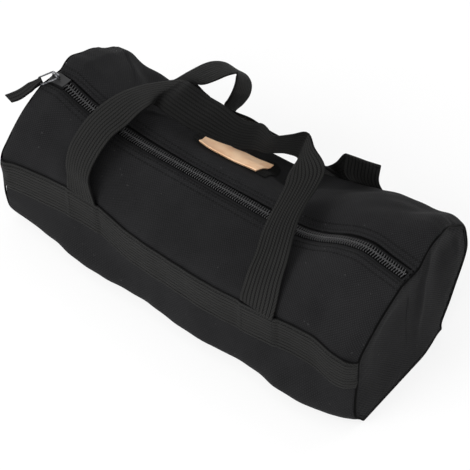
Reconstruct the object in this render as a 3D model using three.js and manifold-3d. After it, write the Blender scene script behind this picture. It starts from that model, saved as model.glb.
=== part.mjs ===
// Zippered canvas tool bag: two soft sides on a flat base, closed ends, a coil zip along the top
// and two webbing handles. Millimetres, +Z up, +X along the bag, -Y is the front.
// The origin is the middle of the base, on the surface that the bag stands on.

import * as THREE from "three";
import { mergeVertices } from "three/addons/utils/BufferGeometryUtils.js";
import Module from "manifold-3d";

const wasm = await Module();
wasm.setup();

// Body
const bagLength = 430;
const canvas = 2.4; // two layers of duck canvas
const gap = 0.3; // between pieces that touch
const baseFront = 64; // base seam to the middle, front and rear
const baseRear = 66;
const lengthSteps = 24;
const endStretch = 22.5; // straight cloth at each end, which carries the slider
const profileSteps = 18;

// Webbing bands along both sides, and the seam that each one covers
const bandLow = 48;
const bandHigh = 86;
const bandThick = 1.8;
const bandSeam = 66;

// Zip, size 10 coil
const zipHeight = 130; // top of the chain at its far end
const zipTilt = 6.5; // how much higher the slider's end is
const chainHalf = 5.15;
const coilPitch = 2.54;
const coilWire = 0.96;
const coilReach = 1.0; // how far a loop passes the middle
const coilSpine = 1.25;
const coilThick = 2.3;
const tapeThick = 0.8;
const tapeInner = 2.9;
const tapeOuter = 16;
const flapEdge = 9.5; // folded canvas edge to the middle of the zip
const chainFlat = 13; // the profile is level this far each side of the zip

// Slider and pull
const sliderLength = 19;
const shoulderHalf = 7.5;
const throatHalf = 6.35;
const wingThick = 1.3;
const slide = 0.35; // clearance round the chain
const postHalf = 2.4;
const postLength = 7;
const crownWidth = 1.6;
const crownLength = 10;
const crownHeight = 6;
const crownBack = 4.4; // middle of the crown behind the middle of the slider
const pivotBack = 0.3; // bar of the link behind the middle of the crown
const crownWall = 1.2;
const linkWire = 1.6;
const linkLength = 17;
const linkWidth = 11.2;
const tabLength = 29;
const tabWidth = 12.5;
const tabThick = 2.4;
const pullYaw = 60; // degrees from straight back, towards the front
const pullDrop = 9.5; // degrees below level

// Handles
const webbing = 38;
const strapThick = 2.4;

// Leather label on the rear flap
const labelLeft = -56;
const labelRight = 12;
const labelNear = 34; // distances along the flap from the folded edge
const labelFar = 76;
const leather = 2.2;
const backing = 1.2;
const backingMargin = 3;

// Seam binding inside each end
const bindingDepth = 6;
const bindingWide = 4;
const bindingClearFront = 18; // where it stops, from the middle of the zip
const bindingClearRear = 72;

const halfLength = bagLength / 2;
const bodyEnd = halfLength - canvas - gap;

const canvasLook = new THREE.MeshStandardMaterial({ color: 0x242426, roughness: 0.95, metalness: 0 });
const webbingLook = new THREE.MeshStandardMaterial({ color: 0x2e2e2c, roughness: 0.8, metalness: 0 });
const tapeLook = new THREE.MeshStandardMaterial({ color: 0x1c1c1d, roughness: 0.9, metalness: 0 });
const coilLook = new THREE.MeshStandardMaterial({ color: 0x3a3a3a, roughness: 0.45, metalness: 0 });
const metalLook = new THREE.MeshStandardMaterial({ color: 0x6c6e72, roughness: 0.3, metalness: 1 });
const leatherLook = new THREE.MeshStandardMaterial({ color: 0xd7a57d, roughness: 0.6, metalness: 0 });

const bag = new THREE.Group();

function addPiece(name, geometry, look) {
  const mesh = new THREE.Mesh(geometry, look);
  mesh.name = name;
  bag.add(mesh);
  return mesh;
}

function smooth(from, to, value) {
  return THREE.MathUtils.smoothstep(value, from, to);
}

// How an empty bag slumps between its stiff ends. Each row is a place along the bag, as a share of
// half its length, and how far the cloth is from a straight side there.

const zipSag = [
  [-0.895, 0], [-0.82, 7.4], [-0.745, 12.9], [-0.6, 19.2], [-0.4, 22], [0, 21.2],
  [0.42, 20.4], [0.54, 12.5], [0.67, -1.9], [0.78, -8.3], [0.88, -4.6], [1, 0],
];
const frontWave = [
  [-1, 2], [-0.75, -6.5], [-0.5, -9], [-0.25, 0.5], [0, 3.8],
  [0.25, 6.2], [0.5, 2.1], [0.75, -2.8], [0.92, 3.7], [1, -2.2],
];
const frontBelly = [
  [-1, -0.02], [-0.5, 0.145], [0, 0.18], [0.5, 0.207], [0.85, 0.22], [1, 0],
];
const rearLean = [
  [-1, -10.4], [-0.8, -2.3], [-0.6, -3], [0, 0], [0.6, 4.3], [0.8, -4], [1, 8.3],
];
const rearSag = 8;
const waist = 0.16;
const shoulder = 0.14;

// Smooth through the rows, and level beyond the first and the last
function through(rows, share) {
  const last = rows.length - 1;
  const at = THREE.MathUtils.clamp(share, rows[0][0], rows[last][0]);
  let i = 1;
  while (i < last && rows[i][0] < at) i++;
  const slope = (k) => {
    const [from, low] = rows[Math.max(k - 1, 0)];
    const [to, high] = rows[Math.min(k + 1, last)];
    return (high - low) / (to - from);
  };
  const [start, a] = rows[i - 1];
  const [end, b] = rows[i];
  const width = end - start;
  const t = (at - start) / width;
  const rise = (3 - 2 * t) * t * t;
  const leave = t * (1 - t) * (1 - t) * width * slope(i - 1);
  const arrive = t * t * (t - 1) * width * slope(i);
  return a + (b - a) * rise + leave + arrive;
}

// Height of the pulled-taut zip above its far end, which is the line that the slider runs on
function zipTaut(x) {
  return (zipTilt * (halfLength - x)) / bagLength;
}

function rearSlump(x) {
  return Math.exp(-(((x / halfLength + 0.023) / 0.395) ** 2));
}

function slumpAt(x, y, z) {
  const share = x / halfLength;
  const low = smooth(0, 12, z) * (1 - smooth(14, bandLow, z));
  const middle = smooth(10, bandLow - 4, z) * (1 - smooth(bandHigh + 6, zipHeight - 6, z));
  const high = smooth(bandHigh, zipHeight, z);
  const rise = zipTaut(x) - through(zipSag, share);
  if (y <= 0) {
    const spread = 1 + through(frontBelly, share) * low;
    return new THREE.Vector3(x, y * spread - through(frontWave, share) * middle, z + rise * high);
  }
  const inwards = rearSlump(x) * (waist * smooth(30, 84, z) + shoulder * high);
  const lift = (through(rearLean, share) - rearSag * rearSlump(x)) * smooth(chainFlat, 50, y);
  return new THREE.Vector3(x, y * (1 - inwards), z + (rise + lift) * high);
}

const straightEnd = halfLength - endStretch;
const middleStations = Array.from({ length: lengthSteps + 1 }, (_, i) => straightEnd * ((2 * i) / lengthSteps - 1));
const stations = [-halfLength, ...middleStations, halfLength];

// Straight between two stations, so that every layer bends the same way
function slump(point) {
  let index = 1;
  while (index < stations.length - 1 && stations[index] < point.x) index++;
  const from = stations[index - 1];
  const share = (point.x - from) / (stations[index] - from);
  const a = slumpAt(from, point.y, point.z);
  const b = slumpAt(stations[index], point.y, point.z);
  const place = a.lerp(b, share);
  place.x = point.x;
  return place;
}

function slumped(geometry) {
  const position = geometry.attributes.position;
  for (let i = 0; i < position.count; i++) {
    const place = slump(new THREE.Vector3().fromBufferAttribute(position, i));
    position.setXYZ(i, place.x, place.y, place.z);
  }
  return geometry;
}

// Profile of each side at the ends of the bag, from the base seam to the middle of the zip

const frontCurve = new THREE.SplineCurve([
  new THREE.Vector2(-baseFront, 0),
  new THREE.Vector2(-baseFront - 14, 14),
  new THREE.Vector2(-baseFront - 17, bandLow - 14),
  new THREE.Vector2(-baseFront - 15, bandLow + 12),
  new THREE.Vector2(-baseFront - 13.7, bandHigh),
  new THREE.Vector2(-baseFront, bandHigh + 14.5),
  new THREE.Vector2(-baseFront + 22.5, zipHeight - 14),
  new THREE.Vector2(-chainFlat, zipHeight),
]);

const rearCurve = new THREE.SplineCurve([
  new THREE.Vector2(baseRear, 0),
  new THREE.Vector2(baseRear + 2, 14),
  new THREE.Vector2(baseRear + 14, bandLow - 6),
  new THREE.Vector2(baseRear + 30, bandHigh - 8),
  new THREE.Vector2(baseRear + 31, bandHigh + 22),
  new THREE.Vector2(baseRear + 13, zipHeight - 8),
  new THREE.Vector2(baseRear - 8, zipHeight + 6),
  new THREE.Vector2(baseRear - 36, zipHeight + 11),
  new THREE.Vector2(chainFlat, zipHeight),
]);

// A polyline with its running length, on which every layer of a side is laid
function layLine(points) {
  const lengths = [0];
  for (let i = 1; i < points.length; i++) {
    lengths.push(lengths[i - 1] + points[i].distanceTo(points[i - 1]));
  }
  return { points, lengths, total: lengths[points.length - 1] };
}

// Every edge of a layer is a point of the line, so that all the layers bend at the same places
function withEdges(line, edges) {
  const edgePoints = edges.map((length) => [length, pointOn(line, length, 0, 1)]);
  const kept = line.lengths.map((length, i) => [length, line.points[i]]);
  const clear = kept.filter(
    ([length], i) => i === 0 || i === kept.length - 1 || edges.every((edge) => Math.abs(edge - length) > 1.5),
  );
  const all = [...clear, ...edgePoints].sort((a, b) => a[0] - b[0]);
  return layLine(all.map(([, point]) => point));
}

function lengthWhere(line, test) {
  for (let i = 1; i < line.points.length; i++) {
    const a = test(line.points[i - 1]);
    const b = test(line.points[i]);
    if (a <= 0 && b > 0) {
      return THREE.MathUtils.lerp(line.lengths[i - 1], line.lengths[i], -a / (b - a));
    }
  }
  return line.total;
}

function lengthAtHeight(line, height) {
  return lengthWhere(line, (p) => p.y - height);
}

function lengthAtZip(line, distance) {
  return lengthWhere(line, (p) => (p.y > bandHigh ? distance - Math.abs(p.x) : -1));
}

// Outward normal at a joint of the polyline, as long as the layers need to stay parallel
function mitre(line, i, side) {
  const before = line.points[Math.max(i - 1, 0)];
  const here = line.points[i];
  const after = line.points[Math.min(i + 1, line.points.length - 1)];
  const into = here.clone().sub(before);
  const out = after.clone().sub(here);
  if (i === 0) into.copy(out);
  if (i === line.points.length - 1) out.copy(into);
  into.normalize();
  out.normalize();
  const normal = new THREE.Vector2(into.y + out.y, -into.x - out.x).multiplyScalar(-side).normalize();
  const first = new THREE.Vector2(into.y, -into.x).multiplyScalar(-side);
  return normal.divideScalar(normal.dot(first));
}

function pointOn(line, length, offset, side) {
  let i = 1;
  while (i < line.points.length - 1 && line.lengths[i] < length) i++;
  const share = (length - line.lengths[i - 1]) / (line.lengths[i] - line.lengths[i - 1]);
  const a = line.points[i - 1].clone().addScaledVector(mitre(line, i - 1, side), offset);
  const b = line.points[i].clone().addScaledVector(mitre(line, i, side), offset);
  return a.lerp(b, share);
}

const bendHeights = [bandLow, bandSeam, bandHigh];
const bendDistances = [tapeOuter, flapEdge, tapeInner];

function sideLine(curve) {
  const line = layLine([...curve.getSpacedPoints(profileSteps), new THREE.Vector2(0, zipHeight)]);
  return withEdges(line, [
    ...bendHeights.map((height) => lengthAtHeight(line, height)),
    ...bendDistances.map((distance) => lengthAtZip(line, distance)),
  ]);
}

const frontLine = sideLine(frontCurve);
const flatRearLine = sideLine(rearCurve);
const rearEdge = lengthAtZip(flatRearLine, flapEdge);
const rearLine = withEdges(flatRearLine, [rearEdge - labelFar - backingMargin, rearEdge - labelFar, rearEdge - labelNear]);

function layerPoints(line, from, to, offset, side) {
  const between = line.lengths.filter((length) => length > from + 0.5 && length < to - 0.5);
  return [from, ...between, to].map((length) => pointOn(line, length, offset, side));
}

// A layer between two lengths of the line, from one offset to another, carried along X.
// Its two faces split their quads the same way, so that a layer lies flush on the next one.
function layer(line, from, to, low, high, side, startX = -bodyEnd, endX = bodyEnd) {
  const outside = layerPoints(line, from, to, high, side);
  const inside = layerPoints(line, from, to, low, side);
  const stops = stopsBetween(startX, endX);
  const place = (x) => (p) => slump(new THREE.Vector3(x, p.x, p.y));
  const positions = stops.flatMap((x) => [...outside, ...inside].map(place(x))).flatMap((p) => [p.x, p.y, p.z]);
  const rows = outside.length;
  const ring = 2 * rows;
  const index = [];
  const quad = (a, b, c, d) => index.push(...(side > 0 ? [a, b, c, a, c, d] : [a, c, b, a, d, c]));
  for (let s = 0; s < stops.length - 1; s++) {
    const here = s * ring;
    const next = here + ring;
    for (let i = 0; i < rows - 1; i++) {
      quad(here + i, next + i, next + i + 1, here + i + 1);
      index.push(...flipped(here + rows + i, next + rows + i, next + rows + i + 1, here + rows + i + 1, side));
    }
    quad(here, here + rows, next + rows, next);
    quad(here + rows - 1, next + rows - 1, next + ring - 1, here + ring - 1);
  }
  const last = (stops.length - 1) * ring;
  for (let i = 0; i < rows - 1; i++) {
    quad(i, i + 1, rows + i + 1, rows + i);
    quad(last + i, last + rows + i, last + rows + i + 1, last + i + 1);
  }
  const geometry = new THREE.BufferGeometry();
  geometry.setAttribute("position", new THREE.Float32BufferAttribute(positions, 3));
  geometry.setIndex(index);
  return geometry;
}

function flipped(a, b, c, d, side) {
  return side > 0 ? [a, c, b, a, d, c] : [a, b, c, a, c, d];
}

function stopsBetween(from, to) {
  return [from, ...stations.filter((x) => x > from + 0.5 && x < to - 0.5), to];
}

// A section in Y and Z carried along X through the stations
function alongBag(shape, from, to) {
  const stops = stopsBetween(from, to);
  const geometry = new THREE.ExtrudeGeometry(shape, {
    depth: stops.length - 1,
    steps: stops.length - 1,
    bevelEnabled: false,
  });
  const position = geometry.attributes.position;
  for (let i = 0; i < position.count; i++) {
    const x = stops[Math.round(position.getZ(i))];
    position.setXYZ(i, x, position.getX(i), position.getY(i));
  }
  return slumped(geometry);
}

// Base and sides

// The long edges of the base are cut to lie along the slope of the sides
function baseEdge(line, side) {
  const low = pointOn(line, 0, 0, side);
  const high = pointOn(line, 0, -canvas, side);
  const clear = side * Math.min((gap * canvas) / high.y, canvas + gap);
  return [
    new THREE.Vector2(low.x + clear, 0),
    new THREE.Vector2(high.x + clear, high.y),
    new THREE.Vector2(high.x + clear + side * (canvas - high.y), canvas),
  ];
}

function basePanel() {
  const shape = new THREE.Shape([...baseEdge(frontLine, 1), ...baseEdge(rearLine, -1).reverse()]);
  addPiece("base_panel", alongBag(shape, -bodyEnd, bodyEnd), canvasLook);
}

function sidePanels(name, line, side) {
  const seam = lengthAtHeight(line, bandSeam);
  const edge = lengthAtZip(line, flapEdge);
  addPiece(`${name}_lower_panel`, layer(line, 0, seam - gap / 2, -canvas, 0, side), canvasLook);
  addPiece(`${name}_flap`, layer(line, seam + gap / 2, edge, -canvas, 0, side), canvasLook);
}

function sideBand(name, line, side) {
  const from = lengthAtHeight(line, bandLow);
  const to = lengthAtHeight(line, bandHigh);
  addPiece(`${name}_band`, layer(line, from, to, gap, gap + bandThick, side), webbingLook);
}

// Ends

function outline(offset) {
  const front = layerPoints(frontLine, 0, frontLine.total, offset, 1);
  const rear = layerPoints(rearLine, 0, rearLine.total, offset, -1).reverse();
  return [...front, ...rear.slice(1)];
}

function endPanel(name, side) {
  const shape = new THREE.Shape(outline(0));
  const inner = side * (halfLength - canvas);
  const outer = side * halfLength;
  const geometry = alongBag(shape, Math.min(inner, outer), Math.max(inner, outer));
  addPiece(`${name}_end_panel`, geometry, canvasLook);
}

// The bound seam allowance stands inwards round each end and stops short of the zip
function endBinding(name, side) {
  const high = -canvas - 2 * gap;
  const low = high - bindingDepth;
  const frontTo = lengthAtZip(frontLine, bindingClearFront);
  const rearTo = lengthAtZip(rearLine, bindingClearRear);
  const start = bindingDepth + canvas;
  const ring = (offset) => [
    ...layerPoints(frontLine, start, frontTo, offset, 1).reverse(),
    ...layerPoints(rearLine, start, rearTo, offset, -1),
  ];
  const shape = new THREE.Shape([...ring(high), ...ring(low).reverse()]);
  const inner = side * (bodyEnd - bindingWide);
  const outer = side * bodyEnd;
  const geometry = alongBag(shape, Math.min(inner, outer), Math.max(inner, outer));
  addPiece(`${name}_seam_binding`, geometry, tapeLook);
}

// Zip tapes and coils

const tapeTop = -canvas - gap;
const coilBase = tapeTop + 0.4;

function zipTape(name, line, side) {
  const from = lengthAtZip(line, tapeOuter);
  const to = lengthAtZip(line, tapeInner);
  addPiece(`${name}_zip_tape`, layer(line, from, to, tapeTop - tapeThick, tapeTop, side), tapeLook);
}

const sliderMiddle = -bodyEnd + sliderLength / 2;
const coilStart = sliderMiddle - sliderLength / 2 + postLength + 2;
const coilEnd = bodyEnd - 0.2;

// One half of the chain: a spine with a loop at every pitch, half a pitch from the other half
function coilHalf(name, side) {
  const spineOut = side * chainHalf;
  const spineIn = side * (chainHalf - coilSpine);
  const tip = -side * coilReach;
  const count = Math.floor((coilEnd - coilStart) / coilPitch - 0.5);
  const points = [];
  const faces = [];
  const inner = [];
  const outer = [];
  const add = (x, y) => points.push([x, y]) - 1;
  outer.push(add(coilStart, spineOut));
  inner.push(add(coilStart, spineIn));
  for (let i = 0; i < count; i++) {
    const middle = coilStart + (i + (side > 0 ? 0.5 : 1)) * coilPitch;
    const before = inner[inner.length - 1];
    const rootA = add(middle - coilWire / 2, spineIn);
    const tipA = add(middle - coilWire / 2, tip);
    const tipB = add(middle + coilWire / 2, tip);
    const rootB = add(middle + coilWire / 2, spineIn);
    const back = outer[outer.length - 1];
    const next = add(middle + coilWire / 2, spineOut);
    faces.push([back, rootA, before], [back, next, rootA], [next, rootB, rootA]);
    faces.push([rootA, rootB, tipB], [rootA, tipB, tipA]);
    inner.push(rootA, tipA, tipB, rootB);
    outer.push(next);
  }
  const lastInner = inner[inner.length - 1];
  const lastOuter = outer[outer.length - 1];
  inner.push(add(coilEnd, spineIn));
  outer.push(add(coilEnd, spineOut));
  faces.push([lastOuter, outer[outer.length - 1], lastInner]);
  faces.push([outer[outer.length - 1], inner[inner.length - 1], lastInner]);
  const loop = [...outer, ...inner.reverse()];
  const low = zipHeight + coilBase;
  addPiece(`${name}_zip_coil`, slumped(plate(points, faces, loop, low, low + coilThick, side)), coilLook);
}

// A flat plate from its plan: points, the triangles between them and the loop round the edge
function plate(points, faces, loop, low, high, side) {
  const count = points.length;
  const positions = [low, high].flatMap((z) => points.flatMap(([x, y]) => [x, y, z]));
  const index = [];
  const turned = (a, b, c) => index.push(...(side > 0 ? [a, c, b] : [a, b, c]));
  faces.forEach(([a, b, c]) => {
    turned(a + count, b + count, c + count);
    turned(a, c, b);
  });
  loop.forEach((a, i) => {
    const b = loop[(i + 1) % loop.length];
    turned(a, b, b + count);
    turned(a, b + count, a + count);
  });
  const geometry = new THREE.BufferGeometry();
  geometry.setAttribute("position", new THREE.Float32BufferAttribute(positions, 3));
  geometry.setIndex(index);
  return geometry;
}

// Booleans

function toSolid(geometry) {
  const bare = geometry.clone();
  bare.deleteAttribute("normal");
  bare.deleteAttribute("uv");
  const merged = mergeVertices(bare, 1e-4);
  const vertProperties = new Float32Array(merged.attributes.position.array);
  const triVerts = new Uint32Array(merged.index.array);
  return new wasm.Manifold(new wasm.Mesh({ numProp: 3, vertProperties, triVerts }));
}

function toGeometry(solid) {
  const mesh = solid.getMesh();
  const geometry = new THREE.BufferGeometry();
  geometry.setAttribute("position", new THREE.BufferAttribute(mesh.vertProperties, 3));
  geometry.setIndex(new THREE.BufferAttribute(mesh.triVerts, 1));
  geometry.computeVertexNormals();
  return geometry;
}

function joined(geometries) {
  const solids = geometries.map(toSolid);
  return toGeometry(solids.slice(1).reduce((sum, solid) => sum.add(solid), solids[0]));
}

function block(fromX, toX, fromY, toY, fromZ, toZ) {
  const geometry = new THREE.BoxGeometry(toX - fromX, toY - fromY, toZ - fromZ);
  return geometry.translate((fromX + toX) / 2, (fromY + toY) / 2, (fromZ + toZ) / 2);
}

// Slider: two wings on a post, lips down each side of the chain, and a crown for the pull

const tapeMiddle = zipHeight + tapeTop - tapeThick / 2;
const lowerWingTop = tapeMiddle - tapeThick / 2 - slide;
const upperWingLow = zipHeight + coilBase + coilThick + slide;
const sliderTop = upperWingLow + wingThick;
const crownMiddle = sliderMiddle - crownBack;

function wingShape(inset) {
  const half = sliderLength / 2;
  const shape = new THREE.Shape();
  shape.moveTo(half, -throatHalf + inset);
  shape.lineTo(half, throatHalf - inset);
  shape.bezierCurveTo(0, throatHalf - inset, 0, shoulderHalf, -half + 4, shoulderHalf - inset);
  shape.quadraticCurveTo(-half, shoulderHalf - inset, -half, shoulderHalf - 4);
  shape.lineTo(-half, -shoulderHalf + 4);
  shape.quadraticCurveTo(-half, -shoulderHalf + inset, -half + 4, -shoulderHalf + inset);
  shape.bezierCurveTo(0, -shoulderHalf, 0, -throatHalf + inset, half, -throatHalf + inset);
  return shape;
}

function crown() {
  const outer = new THREE.Shape();
  const long = crownLength / 2;
  outer.moveTo(-long, -0.4);
  outer.lineTo(long, -0.4);
  outer.lineTo(long, crownHeight * 0.45);
  outer.quadraticCurveTo(long, crownHeight, long - 3.4, crownHeight);
  outer.lineTo(-long + 3.4, crownHeight);
  outer.quadraticCurveTo(-long, crownHeight, -long, crownHeight * 0.45);
  const hole = new THREE.Path();
  const inside = long - crownWall;
  const roof = crownHeight - crownWall;
  hole.moveTo(-inside, 0.5);
  hole.lineTo(-inside, roof * 0.5);
  hole.quadraticCurveTo(-inside, roof, -inside + 2.4, roof);
  hole.lineTo(inside - 2.4, roof);
  hole.quadraticCurveTo(inside, roof, inside, roof * 0.5);
  hole.lineTo(inside, 0.5);
  outer.holes.push(hole);
  const geometry = new THREE.ExtrudeGeometry(outer, { depth: crownWidth, bevelEnabled: false, curveSegments: 5 });
  geometry.rotateX(Math.PI / 2);
  return geometry.translate(crownMiddle, crownWidth / 2, sliderTop);
}

function zipSlider() {
  const half = sliderLength / 2;
  const wing = { depth: wingThick, bevelEnabled: false, curveSegments: 6 };
  const upper = new THREE.ExtrudeGeometry(wingShape(0), wing).translate(sliderMiddle, 0, upperWingLow);
  const lower = new THREE.ExtrudeGeometry(wingShape(0.4), wing);
  lower.translate(sliderMiddle, 0, lowerWingTop - wingThick);
  const post = new THREE.Shape();
  post.moveTo(-half + 0.4, 0);
  post.quadraticCurveTo(-half + 1, -postHalf, -half + 2.6, -postHalf);
  post.lineTo(-half + postLength, 0);
  post.lineTo(-half + 2.6, postHalf);
  post.quadraticCurveTo(-half + 1, postHalf, -half + 0.4, 0);
  const postHeight = upperWingLow - lowerWingTop + 0.8;
  const column = new THREE.ExtrudeGeometry(post, { depth: postHeight, bevelEnabled: false, curveSegments: 4 });
  column.translate(sliderMiddle, 0, lowerWingTop - 0.4);
  const lipInner = chainHalf + slide;
  const lipLow = tapeMiddle + tapeThick / 2 + slide;
  const lips = [-1, 1].map((side) =>
    block(
      sliderMiddle - half + 5,
      sliderMiddle + half,
      Math.min(side * lipInner, side * throatHalf),
      Math.max(side * lipInner, side * throatHalf),
      lipLow,
      upperWingLow + 0.4,
    ),
  );
  addPiece("zip_slider", slumped(joined([upper, lower, column, ...lips, crown()])), metalLook);
}

// Pull: a wire link through the crown and a folded webbing tab on its far side

const pivotX = crownMiddle - pivotBack;
const crownRoof = sliderTop + crownHeight - crownWall + zipTaut(pivotX);
const pullPivot = new THREE.Vector3(pivotX, 0, crownRoof - linkWire / 2 - slide - 0.15);

function placePull(geometry) {
  geometry.rotateY(THREE.MathUtils.degToRad(-pullDrop));
  geometry.rotateZ(THREE.MathUtils.degToRad(pullYaw));
  return geometry.translate(pullPivot.x, pullPivot.y, pullPivot.z);
}

// The link points along -X before it is placed, with its bar in the crown at the pivot
function linkPath() {
  const wide = linkWidth / 2;
  const bend = 2;
  const corners = [
    new THREE.Vector3(0, -wide, 0),
    new THREE.Vector3(0, wide, 0),
    new THREE.Vector3(-linkLength, wide, 0),
    new THREE.Vector3(-linkLength, -wide, 0),
  ];
  return corners.flatMap((corner, i) => {
    const before = corners[(i + 3) % 4].clone().sub(corner).setLength(bend).add(corner);
    const after = corners[(i + 1) % 4].clone().sub(corner).setLength(bend).add(corner);
    return new THREE.QuadraticBezierCurve3(before, corner, after).getPoints(4);
  });
}

function pullLink() {
  const path = linkPath();
  const sides = 8;
  const up = new THREE.Vector3(0, 0, 1);
  const rings = path.map((point, i) => {
    const before = path[(i + path.length - 1) % path.length];
    const after = path[(i + 1) % path.length];
    const along = after.clone().sub(before).normalize();
    const out = up.clone().cross(along);
    return Array.from({ length: sides }, (_, k) => {
      const turn = (2 * Math.PI * k) / sides;
      const radius = linkWire / 2;
      return point.clone().addScaledVector(out, radius * Math.cos(turn)).addScaledVector(up, radius * Math.sin(turn));
    });
  });
  addPiece("pull_link", placePull(ringSolid(rings, true)), metalLook);
}

function pullTab() {
  const start = -linkLength + linkWire / 2 + gap + 3;
  const end = start - tabLength;
  const wide = tabWidth / 2;
  const shape = new THREE.Shape();
  shape.moveTo(start, -wide + 3.2);
  shape.lineTo(start, wide - 3.2);
  shape.lineTo(start - 9, wide - 1.2);
  shape.lineTo(end + 3, wide);
  shape.lineTo(end, -wide + 1);
  shape.lineTo(start - 9, -wide + 1.2);
  const body = new THREE.ExtrudeGeometry(shape, { depth: tabThick, bevelEnabled: false });
  body.translate(0, 0, -tabThick / 2);
  const fold = new THREE.CylinderGeometry(1.9, 1.9, tabWidth - 6.4, 10);
  fold.translate(-linkLength, 0, 0);
  const bore = new THREE.CylinderGeometry(linkWire / 2 + gap, linkWire / 2 + gap, tabWidth, 10);
  bore.translate(-linkLength, 0, 0);
  const solid = toSolid(body).add(toSolid(fold)).subtract(toSolid(bore));
  addPiece("pull_tab", placePull(toGeometry(solid)), webbingLook);
}

// Handles: each is one length of webbing, laid between an outer and an inner edge

const frontHandleEdges = [
  [-134, -72, 87.4, -96.5, -73.9, 87.4],
  [-139.8, -64.6, 96.3, -103, -71.6, 102.4],
  [-143.9, -60.4, 105.6, -107.1, -68.2, 110.9],
  [-146.9, -51.2, 117.8, -109.7, -59.3, 118.4],
  [-147.6, -38.8, 126.7, -110.2, -44.7, 128.3],
  [-146.6, -23.1, 135.2, -109.1, -28.3, 136.3],
  [-143.2, -7, 142.1, -105.3, -11.8, 140.2],
  [-137.8, 13.4, 145.2, -101.3, 2.7, 147.6],
  [-128, 34.6, 145.5, -98.1, 12, 151.2],
  [-112.7, 54, 145.7, -99.3, 18.6, 149],
  [-92.2, 60.3, 153.5, -103.5, 26.4, 139.6],
  [-77.5, 55.6, 160.9, -88.1, 21.4, 141.3],
  [-59.7, 53.9, 159.1, -72.5, 20.1, 141.3],
  [-46.2, 50.9, 160.8, -58.9, 19.8, 140.7],
  [-30.9, 46.4, 165, -46.6, 23.2, 139],
  [-6.3, 41.6, 165.3, -26.7, 32, 135],
  [7.6, 39.5, 169.8, -7.1, 36, 134.9],
  [18.3, 39, 175.4, 6.7, 35.8, 139.2],
  [28.5, 33.6, 179.7, 16.8, 34.4, 143.5],
  [39.8, 26.5, 182.3, 27.8, 33.3, 147],
  [49.5, 23.4, 187.9, 39, 34.1, 153],
  [63.1, 27.7, 194.7, 50.8, 34, 159.3],
  [73, 37.1, 195.7, 62.6, 35.9, 159.1],
  [81.9, 35.1, 183.8, 61.3, 32.3, 152],
  [91.9, 35.6, 171.6, 63.9, 20.5, 151.4],
  [97, 33.7, 163, 69.6, 5.6, 152.9],
  [98.9, 21.5, 155.9, 72.8, -9.4, 147.8],
  [99, 6.5, 148.8, 74.5, -25.1, 139.7],
  [100.3, -7.9, 140.5, 77, -40.3, 130.4],
  [104.4, -22.9, 129.6, 81.1, -54.7, 119],
  [110.2, -40.1, 118.2, 82.4, -65.1, 108.2],
  [117.7, -61.5, 107.2, 85.6, -78.2, 95.6],
  [126, -85.3, 87.9, 88.1, -83.6, 87.9],
];

const rearHandleEdges = [
  [-127, 98.3, 87.8, -89, 98.3, 87.8],
  [-126.1, 98, 104.7, -88.3, 94.9, 107.5],
  [-124.2, 91.8, 119.3, -87, 87.1, 125],
  [-122.2, 84.4, 128.8, -85.4, 80.2, 137],
  [-120.5, 79.2, 134.2, -83.9, 74.5, 143.4],
  [-112.1, 82.9, 139.8, -78.1, 68, 148],
  [-101.9, 86.9, 146, -70, 68.3, 154.7],
  [-91.2, 89.7, 154.9, -60.4, 69.4, 164.3],
  [-79.3, 91.1, 163, -49.3, 71, 174.8],
  [-65.8, 91.3, 167.8, -39.3, 69.6, 184.3],
  [-50.3, 88.9, 168.7, -31.1, 65.8, 192],
  [-42.7, 94.7, 161.4, -32.3, 67.6, 185.8],
  [-41.4, 99.7, 147.3, -37, 70.4, 171],
  [-44.2, 100, 131.6, -42.3, 71.5, 156.6],
  [-50.6, 97.2, 118.2, -46.8, 70.7, 145.1],
  [-56.3, 90.7, 108.3, -48.8, 68.2, 137.9],
  [-44.1, 91.9, 103.1, -38.5, 70.4, 133.9],
  [-24.6, 94.4, 101, -21.6, 73.4, 132.5],
  [-2.3, 96.2, 100.9, -1.1, 75.9, 133],
  [22.3, 97.7, 102.2, 21.6, 77.6, 134.5],
  [47.7, 99.1, 105.2, 43.1, 77.7, 136.2],
  [71.4, 100.1, 110.4, 59, 75.1, 136.2],
  [90.1, 98.9, 118.2, 67.1, 74.6, 134],
  [101.3, 97.2, 126, 70.4, 78.1, 130.3],
  [112.9, 97.3, 130.3, 75.6, 93.8, 127],
  [118.8, 98.6, 115.4, 81.7, 94.8, 108.8],
  [123.5, 99, 100.3, 86.2, 96.6, 98.2],
  [127, 98.3, 87.8, 89, 98.3, 87.8],
];

// A strap from two edges given as rows of outer x, y, z and inner x, y, z
function strap(name, edges, steps) {
  const outer = new THREE.CatmullRomCurve3(edges.map(([x, y, z]) => new THREE.Vector3(x, y, z)));
  const inner = new THREE.CatmullRomCurve3(edges.map(([, , , x, y, z]) => new THREE.Vector3(x, y, z)));
  const rings = [];
  for (let i = 0; i <= steps; i++) {
    const t = i / steps;
    const a = outer.getPoint(t);
    const b = inner.getPoint(t);
    const along = outer.getTangent(t).add(inner.getTangent(t));
    const across = b.clone().sub(a);
    const middle = a.clone().add(b).multiplyScalar(0.5);
    across.setLength(webbing / 2);
    const normal = along.cross(across).setLength(strapThick / 2);
    rings.push([
      middle.clone().sub(across).sub(normal),
      middle.clone().add(across).sub(normal),
      middle.clone().add(across).add(normal),
      middle.clone().sub(across).add(normal),
    ]);
  }
  addPiece(name, ringSolid(rings), webbingLook);
}

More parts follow.
